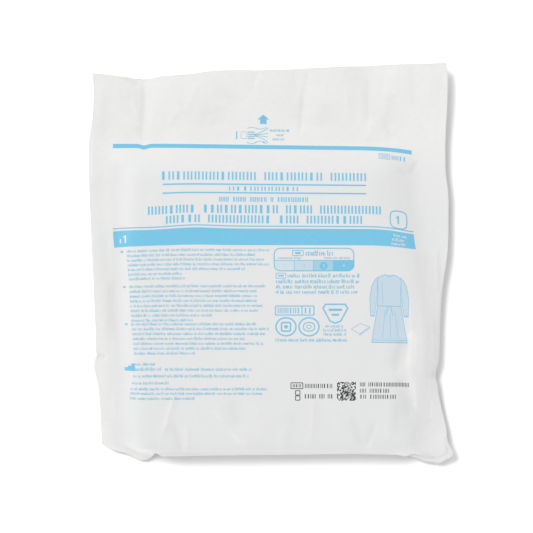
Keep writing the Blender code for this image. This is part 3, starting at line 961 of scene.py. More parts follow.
@dataclass
class BackWeb(Film):
    """The plain film: flat on the ground under the stack, and against the front film along the margins.

    Heights and lifts are in millimetres. Steepest is the least upward share of an upper face's normal.
    """

    columns: int = 150
    rows: int = 160
    steepest: float = 0.5
    smoothings: int = 2
    seal_lift: float = 0.72
    risen_from: float = 1.0
    risen_to: float = 3.5

    def upper_skin(self) -> tuple[BVHTree, list[Vector]]:
        """Returns the solid's upper face as a tree for rays, and the points round its edge in order."""
        obj = Workbench.copy_of("back_web", "back_film_guide")
        mesh = bmesh.new()
        mesh.from_mesh(obj.data)
        outside = [face for face in mesh.faces if face.normal.z < self.steepest]
        bmesh.ops.delete(mesh, geom=outside, context="FACES")
        edge = next(e for e in mesh.edges if e.is_boundary)
        first, vert, loop = edge.verts[0], edge.verts[1], [edge.verts[0].co.copy()]
        while vert != first:
            loop.append(vert.co.copy())
            edge = next(e for e in vert.link_edges if e.is_boundary and e != edge)
            vert = edge.other_vert(vert)
        tree = BVHTree.FromBMesh(mesh)
        mesh.free()
        bpy.data.objects.remove(obj)
        return tree, loop

    def side(self, loop: Sequence[Vector], start: int, end: int, steps: int) -> list[Vector]:
        """Evenly spaced points along the edge between two of its corners.

        Args:
            loop: The points round the edge.
            start: The first corner's number in the loop.
            end: The second corner's number.
            steps: How many steps the side is cut into.

        Returns:
            steps + 1 points, the long way round left out.
        """
        count = len(loop)
        forward = [loop[(start + k) % count] for k in range((end - start) % count + 1)]
        back = [loop[(start - k) % count] for k in range((start - end) % count + 1)]
        run = min(forward, back, key=len)
        for _ in range(self.smoothings):
            middle = [(a + 2.0 * b + c) / 4.0 for a, b, c in zip(run, run[1:], run[2:])]
            run = [run[0], *middle, run[-1]]
        lengths = [0.0]
        for a, b in zip(run, run[1:]):
            lengths.append(lengths[-1] + (b - a).length)
        points, k = [], 0
        for step in range(steps + 1):
            wanted = lengths[-1] * step / steps
            while k < len(run) - 2 and lengths[k + 1] < wanted:
                k += 1
            share = (wanted - lengths[k]) / (lengths[k + 1] - lengths[k])
            points.append(run[k].lerp(run[k + 1], min(max(share, 0.0), 1.0)))
        return points

    def sides(self, loop: Sequence[Vector]) -> tuple[list[Vector], ...]:
        """Cuts the edge at its four corners.

        Args:
            loop: The points round the edge.

        Returns:
            The points of the upper and lower sides, left to right, and of the left and right ones, downwards.
        """

        def corner(right: int, up: int) -> int:
            """The number of the point that lies furthest out towards a corner."""
            return max(range(len(loop)), key=lambda k: right * loop[k].x + up * loop[k].y)

        return (
            self.side(loop, corner(-1, 1), corner(1, 1), self.columns),
            self.side(loop, corner(-1, -1), corner(1, -1), self.columns),
            self.side(loop, corner(-1, 1), corner(-1, -1), self.rows),
            self.side(loop, corner(1, 1), corner(1, -1), self.rows),
        )

    def build(self) -> bpy.types.Object:
        """Returns the finished back film: a grid spread between the four sides and laid on the solid."""
        tree, loop = self.upper_skin()
        top, low, left, right = self.sides(loop)
        bpy.ops.object.select_all(action="DESELECT")
        bpy.ops.mesh.primitive_grid_add(x_subdivisions=self.columns, y_subdivisions=self.rows, size=1.0)
        obj = bpy.context.object
        obj.name = obj.data.name = "back_film"
        points = []
        for place in self.rows_of(obj.data.vertices, "co"):
            u = round((place[0] + 0.5) * self.columns) / self.columns
            v = round((0.5 - place[1]) * self.rows) / self.rows
            j, i = round(u * self.columns), round(v * self.rows)
            between = top[j].lerp(low[j], v) + left[i].lerp(right[i], u)
            point = between - top[0].lerp(top[-1], u).lerp(low[0].lerp(low[-1], u), v)
            hit = tree.ray_cast(Vector((point.x, point.y, 1.0)), Vector((0.0, 0.0, -1.0)))[0]
            points.append((point.x, point.y, (hit or tree.find_nearest(point)[0]).z))
        points = np.array(points) / MM
        risen = ease((points[:, 2] - self.risen_from) / (self.risen_to - self.risen_from))
        points[:, 2] += (self.lift(points[:, 0], points[:, 1]) + self.seal_lift) * risen - CAD_WALL * (1.0 - risen)
        self.finish_sheet(obj, points, offset=1.0)
        return obj


@dataclass
class GownStack:
    """The folded gown: its layered solid, softened, with the slight unevenness of folded cloth.

    The sides come in by drawn_in millimetres towards the top, and the whole settles by a share of its height.
    """

    quad_angle: float = 60.0
    rounding: int = 2
    unevenness: float = 0.35
    wave_lengths: Place = (30.0, 22.0, 4.0)
    settled: float = 0.04
    drawn_in: float = 3.0

    def build(self) -> bpy.types.Object:
        """Returns the finished stack."""
        obj = Workbench.copy_of("folded_gown", "gown_stack")
        with Workbench.editing(obj):
            Workbench.all_to_quads(self.quad_angle)
        Workbench.apply(obj, "SUBSURF", levels=self.rounding, render_levels=self.rounding)
        low_corner, high_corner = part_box("folded_gown")
        middle, low, height = (low_corner + high_corner) / 2.0, low_corner.z, high_corner.z - low_corner.z
        for vertex in obj.data.vertices:
            offset = (vertex.co - middle) / MM
            uneven = noise.noise(Vector([part / length for part, length in zip(offset, self.wave_lengths)]))
            inward = self.unevenness * abs(uneven) + self.drawn_in * (vertex.co.z - low) / height
            for axis in (0, 1):
                half = high_corner[axis] - middle[axis]
                vertex.co[axis] -= inward * offset[axis] * MM / half * MM
            vertex.co.z = max(vertex.co.z - self.settled * (vertex.co.z - low), low)
        return obj


# --------------------------------------------------------------------------------------------------------------------
# Print
# --------------------------------------------------------------------------------------------------------------------


@dataclass(frozen=True)
class PrintBow:
    """How the print follows the film where it is drawn down beside the stack, in millimetres."""

    left_from: float = -70.0
    left_to: float = -128.0
    left_drop: float = 2.1
    right_from: float = 72.0
    right_to: float = 115.0
    right_drop: float = 2.7
    level_y: float = 25.0
    reach_y: float = 110.0
    least_fade: float = 0.25
    tilt: float = 0.014
    tilt_from: float = 8.0
    tilt_to: float = 96.0
    tilt_end: float = 100.0
    tilt_x: float = -60.0
    # Places where the print is drawn down: x, y, reach across, reach along, drop.
    dips: Table = (
        (-103.5, 95.0, 3.4, 14.0, 1.5),
        (-98.0, 45.0, 22.0, 22.0, 1.4),
        (-60.0, 30.0, 20.0, 16.0, -0.9),
        (112.0, 30.0, 14.0, 16.0, 0.9),
    )

    def moved(self, x: float, y: float) -> Point:
        """A point of the flat print, where it lies on the filled pouch.

        Args:
            x: Its place across.
            y: Its place along.

        Returns:
            Both after the print is drawn down.
        """
        left = max(0.0, (x - self.left_from) / (self.left_to - self.left_from)) ** 2
        right = max(0.0, (x - self.right_from) / (self.right_to - self.right_from)) ** 2
        fade = max(self.least_fade, 1.0 - abs(y - self.level_y) / self.reach_y)
        right_fade = fade if y < self.level_y else 1.0
        drop = left * self.left_drop * fade + right * self.right_drop * right_fade
        if self.tilt_from < y < self.tilt_end:
            drop += self.tilt * (y - self.tilt_from) / (self.tilt_to - self.tilt_from) * (x - self.tilt_x)
        for dip_x, dip_y, across, along, depth in self.dips:
            drop += depth * math.exp(-(((x - dip_x) / across) ** 2) - ((y - dip_y) / along) ** 2)
        return x, y - drop


class Plate:
    """Gathers flat shapes of one ink, in millimetres, and lays them on the film as one thin piece."""

    cell: ClassVar[float] = 1.1
    start_height: ClassVar[float] = 60.0
    turns: ClassVar[int] = 40
    corner_steps: ClassVar[int] = 4
    # Small print, in shares of its height: its strokes, the dots beside them, and how far apart they stand.
    small_stroke: ClassVar[float] = 0.17
    small_foot: ClassVar[float] = 0.45
    small_heights: ClassVar[Row] = (0.68, 0.68, 0.72, 1.0)
    dot_levels: ClassVar[Row] = (0.0, 0.26, 0.52)
    dot_strokes: ClassVar[Span] = (1.3, 2.2)
    word_lengths: ClassVar[tuple[int, int]] = (2, 11)
    small_pitch: ClassVar[Span] = (0.34, 0.5)
    word_gap: ClassVar[float] = 0.36
    # Large print, in shares of its pitch: a pair's width and the gap between groups, and the single heavy strokes.
    pair_width: ClassVar[float] = 0.74
    group_gap: ClassVar[float] = 0.9
    heavy_chance: ClassVar[float] = 0.22
    heavy_start: ClassVar[float] = 0.14
    heavy_strokes: ClassVar[float] = 1.6
    # The height of plain numbers as a share of their type's size.
    digit_share: ClassVar[float] = 0.7

    def __init__(self, name: str, ink: Ink, film: bpy.types.Object, bow: PrintBow, lift: float) -> None:
        """Starts an empty plate.

        Args:
            name: The piece's name.
            ink: What it is printed in.
            film: What it is printed on.
            bow: How the print is drawn out of line.
            lift: How far the ink stands off the film, in millimetres.
        """
        self.name = name
        self.ink = ink
        self.film = film
        self.bow = bow
        self.lift = lift
        self.mesh = bmesh.new()

    def _vert(self, x: float, y: float) -> bmesh.types.BMVert:
        """A new point of the plate."""
        x, y = self.bow.moved(x, y)
        return self.mesh.verts.new((x * MM, y * MM, self.start_height * MM))

    def _fill(self, rows: Sequence[Sequence[Point]]) -> None:
        """Quads between rows of points.

        Args:
            rows: The rows, each with as many points.
        """
        verts = [[self._vert(*point) for point in row] for row in rows]
        for low, high in zip(verts, verts[1:]):
            for a, b, c, d in zip(low, low[1:], high[1:], high):
                self.mesh.faces.new((a, b, c, d))

    def _steps(self, length: float) -> int:
        """How many cells a length is cut into, so that the print follows the film."""
        return max(1, math.ceil(abs(length) / self.cell))

    def block(self, x0: float, y0: float, x1: float, y1: float, corners: Mapping[Point, float] | None = None) -> None:
        """A filled rectangle between two corners.

        Args:
            x0: Its left side.
            y0: Its lower side.
            x1: Its right side.
            y1: Its upper side.
            corners: Radii of the corners that are round, by their share of the width and height.
        """
        across, along = self._steps(x1 - x0), self._steps(y1 - y0)
        rows = []
        for i in range(along + 1):
            row = []
            for j in range(across + 1):
                x, y = x0 + (x1 - x0) * j / across, y0 + (y1 - y0) * i / along
                for (sx, sy), radius in (corners or {}).items():
                    middle_x, middle_y = (x0 + radius, x1 - radius)[int(sx)], (y0 + radius, y1 - radius)[int(sy)]
                    dx, dy = x - middle_x, y - middle_y
                    if dx * (sx - 0.5) > 0.0 and dy * (sy - 0.5) > 0.0:
                        shrink = max(abs(dx), abs(dy)) / math.hypot(dx, dy)
                        x, y = middle_x + dx * shrink, middle_y + dy * shrink
                row.append((x, y))
            rows.append(row)
        self._fill(rows)

    def bar(self, x0: float, x1: float, y: float, height: float) -> None:
        """A level bar centred on y."""
        self.block(x0, y - height / 2.0, x1, y + height / 2.0)

    def panel(self, sections: Sequence[tuple[float, float, float]]) -> None:
        """A filled form of straight sections.

        Args:
            sections: Rows of y, left x and right x, from one end to the other.
        """
        across = max(self._steps(right - left) for _, left, right in sections)
        rows = []
        for (y0, l0, r0), (y1, l1, r1) in zip(sections, sections[1:]):
            along = self._steps(y1 - y0)
            for i in range(along + 1):
                t = i / along
                y, left, right = y0 + (y1 - y0) * t, l0 + (l1 - l0) * t, r0 + (r1 - r0) * t
                rows.append([(left + (right - left) * j / across, y) for j in range(across + 1)])
        self._fill(rows)

    def ribbon(self, points: Sequence[Point], width: float, closed: bool = False) -> None:
        """A line of even width along a path.

        Args:
            points: The path's points.
            width: The line's width.
            closed: True where the path runs back to its start.
        """
        path = [Vector(point) for point in points]
        fine: list[Vector] = []
        for a, b in zip(path, path[1:] + path[:1] if closed else path[1:]):
            steps = self._steps((b - a).length)
            fine += [a.lerp(b, k / steps) for k in range(steps)]
        if not closed:
            fine.append(path[-1])
        count, rows = len(fine), []
        for k, point in enumerate(fine):
            before = point - fine[k - 1] if closed or k else fine[1] - point
            after = fine[(k + 1) % count] - point if closed or k < count - 1 else before
            side = (before.normalized() + after.normalized()).normalized().orthogonal()
            reach = width / 2.0 / max(side.dot(before.normalized().orthogonal()), 0.5)
            rows.append([tuple(point + side * reach), tuple(point - side * reach)])
        self._fill(rows + rows[:1] if closed else rows)

    def rounded_box(self, x0: float, y0: float, x1: float, y1: float, radius: float, width: float) -> None:
        """The outline of a box with round corners.

        Args:
            x0: The left side of the line's middle.
            y0: Its lower side.
            x1: Its right side.
            y1: Its upper side.
            radius: The corners' radius.
            width: The line's width.
        """
        left, low, right, high = x0 + radius, y0 + radius, x1 - radius, y1 - radius
        points = []
        for quarter, (x, y) in enumerate(((right, high), (left, high), (left, low), (right, low))):
            for step in range(self.corner_steps + 1):
                angle = math.radians(90.0 * (quarter + step / self.corner_steps))
                points.append((x + radius * math.cos(angle), y + radius * math.sin(angle)))
        self.ribbon(points, width, closed=True)

    def ring(
        self, x: float, y: float, reach_x: float, reach_y: float, width: float, squareness: float = 2.0
    ) -> None:
        """A round line, or a square one with round corners.

        Args:
            x: Its middle, across.
            y: Its middle, along.
            reach_x: Half its width.
            reach_y: Half its height.
            width: The line's width.
            squareness: 2 for an ellipse, more towards a box.
        """
        points = []
        for k in range(self.turns):
            cos, sin = math.cos(math.tau * k / self.turns), math.sin(math.tau * k / self.turns)
            reach = (abs(cos) ** squareness + abs(sin) ** squareness) ** (-1.0 / squareness)
            points.append((x + reach_x * reach * cos, y + reach_y * reach * sin))
        self.ribbon(points, width, closed=True)

    def disc(self, x: float, y: float, radius: float) -> None:
        """A filled circle."""
        every = {(sx, sy): radius for sx in (0.0, 1.0) for sy in (0.0, 1.0)}
        self.block(x - radius, y - radius, x + radius, y + radius, every)

    def small_marks(self, x0: float, x1: float, y: float, height: float, rng: random.Random) -> None:
        """A line of small print that says nothing: upright strokes and dots, grouped as words are.

        Args:
            x0: Where the line starts.
            x1: Where it ends.
            y: Its middle.
            height: The height of its tallest strokes.
            rng: Gives the strokes' heights and the words' lengths.
        """
        x, stroke, foot = x0, self.small_stroke * height, y - self.small_foot * height
        while x < x1 - height:
            for _ in range(rng.randint(*self.word_lengths)):
                if x > x1 - 2.0 * stroke:
                    break
                self.block(x, foot, x + stroke, foot + height * rng.choice(self.small_heights))
                for level in rng.sample(self.dot_levels, rng.randint(0, 2)):
                    low, (near, far) = foot + level * height, self.dot_strokes
                    self.block(x + near * stroke, low, x + far * stroke, low + stroke)
                x += height * rng.uniform(*self.small_pitch)
            x += height * self.word_gap

    def large_marks(
        self, x0: float, x1: float, y: float, height: float, counts: Sequence[int], stroke: float, rng: random.Random
    ) -> None:
        """A line of large print that says nothing: upright strokes, in pairs and in groups.

        Args:
            x0: Where the line starts.
            x1: Where it ends.
            y: Its middle.
            height: The strokes' height.
            counts: How many pairs each group has.
            stroke: The strokes' width.
            rng: Chooses the pairs that are one heavy stroke.
        """
        gaps = self.group_gap * (len(counts) - 1)
        pitch = (x1 - x0) / (sum(counts) + gaps - (1.0 - self.pair_width))
        x, low, high = x0, y - height / 2.0, y + height / 2.0
        for count in counts:
            for _ in range(count):
                if rng.random() < self.heavy_chance:
                    start = x + self.heavy_start * pitch
                    self.block(start, low, start + self.heavy_strokes * stroke, high)
                else:
                    for start in (x, x + self.pair_width * pitch - stroke):
                        self.block(start, low, start + stroke, high)
                x += pitch
            x += self.group_gap * pitch

    def one(self, x: float, y: float, height: float) -> None:
        """A plain heavy number one.

        Args:
            x: Its left side.
            y: Its foot.
            height: Its height.
        """
        flag = stroke = 0.2 * height
        self.block(x + flag, y, x + flag + stroke, y + height)
        self.block(x, y + 0.7 * height, x + flag, y + 0.86 * height)

    def digits(self, text: str, x: float, y: float, height: float) -> None:
        """Plain numbers.

        Args:
            text: The numbers.
            x: Their left side.
            y: Their foot.
            height: Their height.
        """
        bpy.ops.object.select_all(action="DESELECT")
        bpy.ops.object.text_add()
        letters = bpy.context.object
        letters.data.body = text
        letters.data.size = height / self.digit_share * MM
        letters.data.resolution_u = 4
        bpy.ops.object.convert(target="MESH")
        mesh = bpy.context.object.data
        made = [self._vert(v.co.x / MM + x, v.co.y / MM + y) for v in mesh.vertices]
        for polygon in mesh.polygons:
            self.mesh.faces.new([made[k] for k in polygon.vertices])
        bpy.data.objects.remove(bpy.context.object)

    def lay(self, finish: bpy.types.Material) -> bpy.types.Object:
        """Drops the plate on the film and finishes it.

        Args:
            finish: The ink's material.

        Returns:
            The finished piece.
        """
        bmesh.ops.remove_doubles(self.mesh, verts=self.mesh.verts[:], dist=MERGE_WITHIN)
        self.mesh.normal_update()
        for face in self.mesh.faces:
            if face.normal.z < 0.0:
                face.normal_flip()
        mesh = bpy.data.meshes.new(self.name)
        self.mesh.to_mesh(mesh)
        self.mesh.free()
        obj = bpy.data.objects.new(self.name, mesh)
        bpy.context.scene.collection.objects.link(obj)
        Workbench.apply(
            obj,
            "SHRINKWRAP",
            target=self.film,
            wrap_method="PROJECT",
            wrap_mode="ABOVE_SURFACE",
            use_project_z=True,
            use_positive_direction=False,
            use_negative_direction=True,
            offset=self.lift * MM,
        )
        Workbench.finish(obj, finish, self.ink.slot)
        return obj


@dataclass
class FrontPrint:
    """Everything that is printed on the front film. The tables are in millimetres, on the print before it is laid."""

    film: bpy.types.Object
    bow: PrintBow = field(default_factory=PrintBow)
    seed: int = 41
    ink_lift: float = 0.06
    tint_lift: float = -0.02
    open_lift: float = 0.05
    dash_span: Span = (-5.5, -3.2)
    dash_half: float = 0.7
    block_height: float = 2.3
    code_cells: int = 18
    code_corner: Point = (52.7, -109.0)
    code_size: float = 15.0
    code_fill: float = 0.58

    # Level bars: start, end, y and height. The solid band: y, left x and right x of its sections.
    rule_bars: ClassVar[Table] = (
        (-129.0, 114.5, 96.4, 3.4),
        (-87.0, 76.0, 64.6, 1.1),
        (-87.0, 76.0, 57.8, 1.1),
        (-128.6, 115.6, 30.9, 0.9),
    )
    band: ClassVar[Table] = ((28.9, -128.6, 115.8), (22.0, -128.2, 116.4), (15.6, -127.6, 117.4))
    # Lines of large print: start, end, y, height, how many pairs each group has, and the strokes' width.
    heading_lines: ClassVar[tuple[LargeLine, ...]] = (
        (-88.4, 75.9, 71.4, 6.6, (13, 8, 5), 1.3),
        (-33.8, 21.4, 61.2, 3.4, (10,), 1.0),
        (-41.8, 29.4, 52.5, 3.8, (3, 4, 5, 1, 9), 0.75),
        (-98.7, 87.9, 44.6, 6.6, (7, 11, 4, 9), 1.35),
        (-84.3, 72.7, 36.4, 6.4, (5, 9, 3, 8), 1.35),
        (97.6, 109.6, 89.7, 3.8, (4,), 0.75),
    )
    sign_lines: ClassVar[tuple[LargeLine, ...]] = (
        (5.2, 23.0, -36.8, 4.4, (6,), 0.7),
        (26.4, 32.4, -36.8, 4.4, (2,), 0.7),
    )
    overprint_lines: ClassVar[tuple[LargeLine, ...]] = (
        (17.3, 23.8, -97.05, 2.6, (3,), 0.5),
        (27.0, 48.7, -97.2, 3.5, (9,), 0.5),
        (26.6, 49.5, -105.5, 3.5, (4, 2, 2), 0.5),
        (71.1, 110.3, -96.0, 3.3, (2, 14), 0.5),
        (71.1, 94.3, -101.0, 3.3, (2, 6), 0.5),
        (71.1, 99.9, -105.8, 3.3, (2, 8), 0.5),
    )
    # The arrow's head and shaft: y, left x and right x of their sections. The bend and start of the parting webs.
    arrow: ClassVar[tuple[Table, ...]] = (
        ((121.9, -6.6, -6.2), (118.2, -11.2, -1.6)),
        ((118.2, -9.0, -3.8), (114.6, -9.0, -3.8)),
    )
    parting_webs: ClassVar[Table] = ((0.052, 0.5), (0.012, 0.3))
    # The hand beside them: the sleeve's edge, the cuff, and the fingers, one above the other.
    hand_y: ClassVar[float] = 105.5
    hand_edge: ClassVar[Row] = (-28.6, 102.3, -27.6, 108.6)
    hand_cuff: ClassVar[Row] = (-24.6, 102.8, -19.8, 108.2, 0.5, 0.3)
    fingers: ClassVar[Table] = tuple((-19.0, -13.6, 102.9 + 1.7 * k, 0.8) for k in range(4))
    web_line: ClassVar[float] = 0.45
    wave_line: ClassVar[float] = 0.4
    # Outlined boxes: left, low, right, high, the corners' radius and the line's width.
    scale_boxes: ClassVar[Table] = ((2.4, -5.0, 66.1, 13.1, 4.6, 0.8), (17.0, 7.1, 25.6, 11.3, 0.5, 0.6))
    sign_boxes: ClassVar[Table] = (
        (87.3, 87.9, 96.0, 92.2, 0.5, 0.5),
        (3.8, -10.9, 11.6, -6.9, 0.5, 0.5),
        (3.4, -40.4, 34.2, -33.2, 0.6, 0.8),
        (8.2, -53.2, 15.4, -46.4, 1.0, 1.2),
    )
    overprint_boxes: ClassVar[Table] = (
        (15.8, -99.4, 25.3, -94.7, 0.4, 0.6),
        (19.4, -104.4, 23.0, -101.0, 0.4, 0.6),
        (19.4, -108.6, 23.0, -105.2, 0.4, 0.6),
    )
    # Level bars: start, end, y and height. Blocks: left, low, right and high.
    scale_bars: ClassVar[Table] = ((2.6, 65.9, 3.4, 0.5), (19.0, 23.6, 9.2, 1.6))
    scale_blocks: ClassVar[Table] = ((18.15, -4.8, 18.65, 3.2), (33.45, -4.8, 33.95, 3.2))
    scale_corner: ClassVar[float] = 4.4
    third_disc: ClassVar[Row] = (41.9, -1.0, 3.2)
    full_cell: ClassVar[Row] = (49.4, -4.9, 66.0, 3.4)
    middle_cell: ClassVar[Row] = (33.8, -4.9, 49.4, 3.3)
    pale_cell: ClassVar[Row] = (18.6, -4.9, 33.6, 3.3)
    faint_cell: ClassVar[Row] = (2.6, -4.8, 18.2, 3.3)
    # Plain numbers: left, foot and height. The first two are in ink, and the others are left open.
    blue_numbers: ClassVar[tuple[Number, ...]] = (("1", 9.4, -2.0, 2.2), ("2", 25.4, -2.0, 2.2))
    open_numbers: ClassVar[tuple[Number, ...]] = (("3", 41.2, -2.1, 2.4), ("4", 57.2, -2.0, 2.4))
    sign_bars: ClassVar[Table] = (
        (88.6, 94.8, 89.1, 0.35), (88.6, 94.8, 90.1, 0.35), (88.6, 94.8, 91.1, 0.35), (5.4, 10.0, -8.9, 1.2),
        (46.0, 56.6, -36.2, 1.8), (48.4, 54.2, -40.2, 1.6),
    )
    sign_blocks: ClassVar[Table] = (
        (24.2, -40.2, 25.0, -33.4), (-118.4, -85.2, -115.4, -82.4), (-115.4, -85.2, -112.4, -81.0),
        (-112.4, -85.2, -109.4, -79.2),
    )
    # Rings: x, y, half the width, half the height, the line's width and the squareness.
    sign_rings: ClassVar[Table] = (
        (102.9, 38.6, 7.2, 7.0, 0.9, 3.4), (11.8, -49.8, 8.0, 7.2, 1.1, 2.0), (30.2, -49.8, 8.0, 7.2, 1.1, 2.0),
        (30.2, -49.8, 4.4, 3.4, 0.8, 2.6), (30.2, -49.8, 1.8, 1.4, 0.6, 2.0),
    )
    ring_dot: ClassVar[Row] = (11.8, -49.8, 1.5)
    # A plain one in the size mark and on the band, from its lower left corner, with its height. The dash beside it.
    size_one: ClassVar[Row] = (100.6, 35.2, 6.6)
    band_one: ClassVar[Row] = (-119.4, 18.6, 6.6)
    band_dash: ClassVar[Row] = (-122.4, 18.8, -121.2, 22.4)
    # Points of the shield, and of the box's lid and front, and the widths of their lines.
    shield_line: ClassVar[float] = 1.1
    box_line: ClassVar[float] = 0.35
    shield: ClassVar[Table] = (
        (43.4, -31.8), (59.2, -31.8), (61.2, -35.0), (55.6, -45.2), (51.3, -46.9), (47.0, -45.2), (41.4, -35.0),
    )
    box_lid: ClassVar[Table] = ((64.0, -51.6), (71.4, -47.2), (78.8, -49.9), (70.8, -55.6))
    box_front: ClassVar[Table] = ((70.8, -55.6), (70.8, -56.6), (78.8, -50.9), (78.8, -49.9))
    # Blocks of small print: x of the first and last line's start, y of the first line, pitch, and each line's end.
    small_blocks: ClassVar[tuple[TextBlock, ...]] = (
        ((-116.3, -114.5), 11.7, 3.77, (-1.0, -9.8, -5.0, -1.0, -20.2, -69.9, -66.7)),
        ((-114.0, -112.3), -17.2, 3.90, (-2.6, -10.6, -8.2, -10.6, -5.8, -9.8, -45.0, -61.9)),
        ((-112.3, -110.0), -47.6, 3.90, (-11.4, -1.0, -1.8, -21.0, -5.8, -18.6, -60.3)),
    )
    # Single lines of small print: start, end, y and height.
    open_lines: ClassVar[Table] = (
        (98.2, 110.6, 25.4, 2.6),
        (97.0, 110.6, 21.8, 2.6),
        (96.4, 110.6, 18.2, 2.6),
    )
    small_lines: ClassVar[Table] = (
        (-110.0, -92.3, -79.7, 2.3), (-110.0, -87.5, -83.7, 2.9), (-85.1, -14.6, -83.9, 2.5),
        (-110.7, -17.0, -89.3, 2.5), (-111.9, -81.9, -94.9, 2.4), (-113.1, -3.4, -99.7, 2.3),
        (-113.5, -4.2, -103.3, 2.3), (-113.9, -59.5, -107.3, 2.3), (13.2, 71.9, -8.9, 3.2), (3.8, 71.9, -13.5, 3.4),
        (3.8, 67.9, -17.8, 3.2), (3.8, 69.5, -22.0, 3.0), (3.4, 63.9, -60.4, 2.8), (-1.0, 15.3, 109.3, 2.2),
        (4.0, 10.0, 105.6, 2.0), (1.0, 12.5, 102.2, 2.0), (43.5, 59.5, -49.2, 2.4), (41.5, 61.0, -52.5, 2.4),
        (41.9, 60.7, -55.8, 2.4), (5.4, 26.2, 5.3, 1.7), (42.3, 63.1, 5.3, 1.7), (27.5, 51.1, 9.1, 4.2),
    )
    # A plain robe: sections of its body and of one sleeve, as y, left x and right x, all from its middle.
    robe_middle: ClassVar[float] = 94.6
    robe_outline: ClassVar[float] = 0.4
    robe_inner_line: ClassVar[float] = 0.3
    robe_collar: ClassVar[float] = 0.5
    robe_cuff: ClassVar[float] = 0.8
    robe_body: ClassVar[Table] = (
        (-7.6, -3.6, 3.6), (-9.0, -7.2, 7.2), (-12.0, -9.6, 9.6), (-23.0, -9.0, 9.0), (-34.0, -9.6, 9.6),
        (-62.4, -14.2, 14.2),
    )
    robe_sleeve: ClassVar[Table] = (
        (-9.4, 8.2, 8.8), (-12.0, 9.6, 11.4), (-17.0, 9.4, 14.0), (-27.0, 10.0, 15.6), (-41.0, 12.0, 15.0),
    )
    # Its hem and belt: half the width, y and height. Its folds and the belt's ends: both ends' x and y, and the width.
    robe_bars: ClassVar[Table] = ((14.2, -62.4, 0.5), (14.0, -60.4, 0.25), (9.8, -33.0, 0.5))
    robe_neck: ClassVar[Table] = ((-3.6, -7.6), (0.0, -9.4), (3.6, -7.6))
    robe_lines: ClassVar[Table] = (
        (-3.4, -36.0, -5.6, -59.0, 0.28), (0.6, -40.0, 1.0, -59.0, 0.28), (4.4, -37.0, 7.2, -59.0, 0.28),
        (-6.0, -14.0, -5.2, -30.0, 0.28), (1.0, -33.0, 3.0, -41.0, 0.5), (-1.0, -33.0, -2.6, -40.0, 0.5),
    )

    def plate(self, name: str, ink: Ink, lift: float = 0.0) -> Plate:
        """An empty plate that stands off the film by the ink's lift and more."""
        return Plate(name, ink, self.film, self.bow, self.ink_lift + lift)

    def rules(self) -> Plate:
        """The heavy rule under the flap, the thin ones, and the solid band."""
        plate = self.plate("print_rules", Ink.BLUE)
        each(plate.bar, self.rule_bars)
        plate.panel(self.band)
        return plate

    def headings(self) -> Plate:
        """The lines of large print."""
        plate = self.plate("print_headings", Ink.BLUE)
        each(plate.large_marks, self.heading_lines, random.Random(self.seed + 2))
        return plate

    def small_print(self) -> Plate:
        """The blocks and lines of small print, each block with its dash."""
        plate, rng = self.plate("print_small_lines", Ink.BLUE), random.Random(self.seed)
        for (first_x, last_x), first_y, pitch, ends in self.small_blocks:
            left, right = (first_x + offset for offset in self.dash_span)
            plate.block(left, first_y - self.dash_half, right, first_y + self.dash_half)
            for k, end in enumerate(ends):
                start = first_x + (last_x - first_x) * k / (len(ends) - 1)
                plate.small_marks(start, end, first_y - pitch * k, self.block_height, rng)
        each(plate.small_marks, self.small_lines, rng)
        return plate

    def peel_signs(self) -> Plate:
        """The arrow towards the flap, and the sign of a hand that parts two webs."""
        plate = self.plate("print_peel_signs", Ink.BLUE)
        for sections in self.arrow:
            plate.panel(sections)
        plate.block(*self.hand_edge)
        plate.rounded_box(*self.hand_cuff)
        each(plate.bar, self.fingers)
        # Nine points each: the webs bend apart to the right, and a wavy line runs over and under the hand.
        for side in (-1.0, 1.0):
            for bend, start in self.parting_webs:
                path = [(-13.8 + 1.4 * k, self.hand_y + side * (start + bend * (k + 2) ** 2)) for k in range(9)]
                plate.ribbon(path, self.web_line)
            wave = [(-19.5 + 2.0 * k, self.hand_y + side * (5.6 + 0.7 * math.sin(0.9 * k))) for k in range(9)]
            plate.ribbon(wave, self.wave_line)
        return plate

    def level_scale(self) -> tuple[Plate, ...]:
        """The scale of four levels: its lines and full cell, and its three tints. The robe is in the same inks."""
        lines = self.plate("print_level_scale", Ink.BLUE)
        each(lines.rounded_box, self.scale_boxes)
        each(lines.bar, self.scale_bars)
        each(lines.block, self.scale_blocks)
        lines.block(*self.full_cell, {(1.0, 0.0): self.scale_corner})
        lines.disc(*self.third_disc)
        each(lines.digits, self.blue_numbers)
        middle = self.plate("print_middle_tint", Ink.HALF_BLUE, self.tint_lift)
        middle.block(*self.middle_cell)
        pale = self.plate("print_pale_tint", Ink.PALE_BLUE, self.tint_lift)
        pale.block(*self.pale_cell)
        faint = self.plate("print_faint_tint", Ink.FAINT_BLUE, self.tint_lift)
        faint.block(*self.faint_cell, {(0.0, 0.0): self.scale_corner})
        self.robe(pale, lines)
        return lines, middle, pale, faint

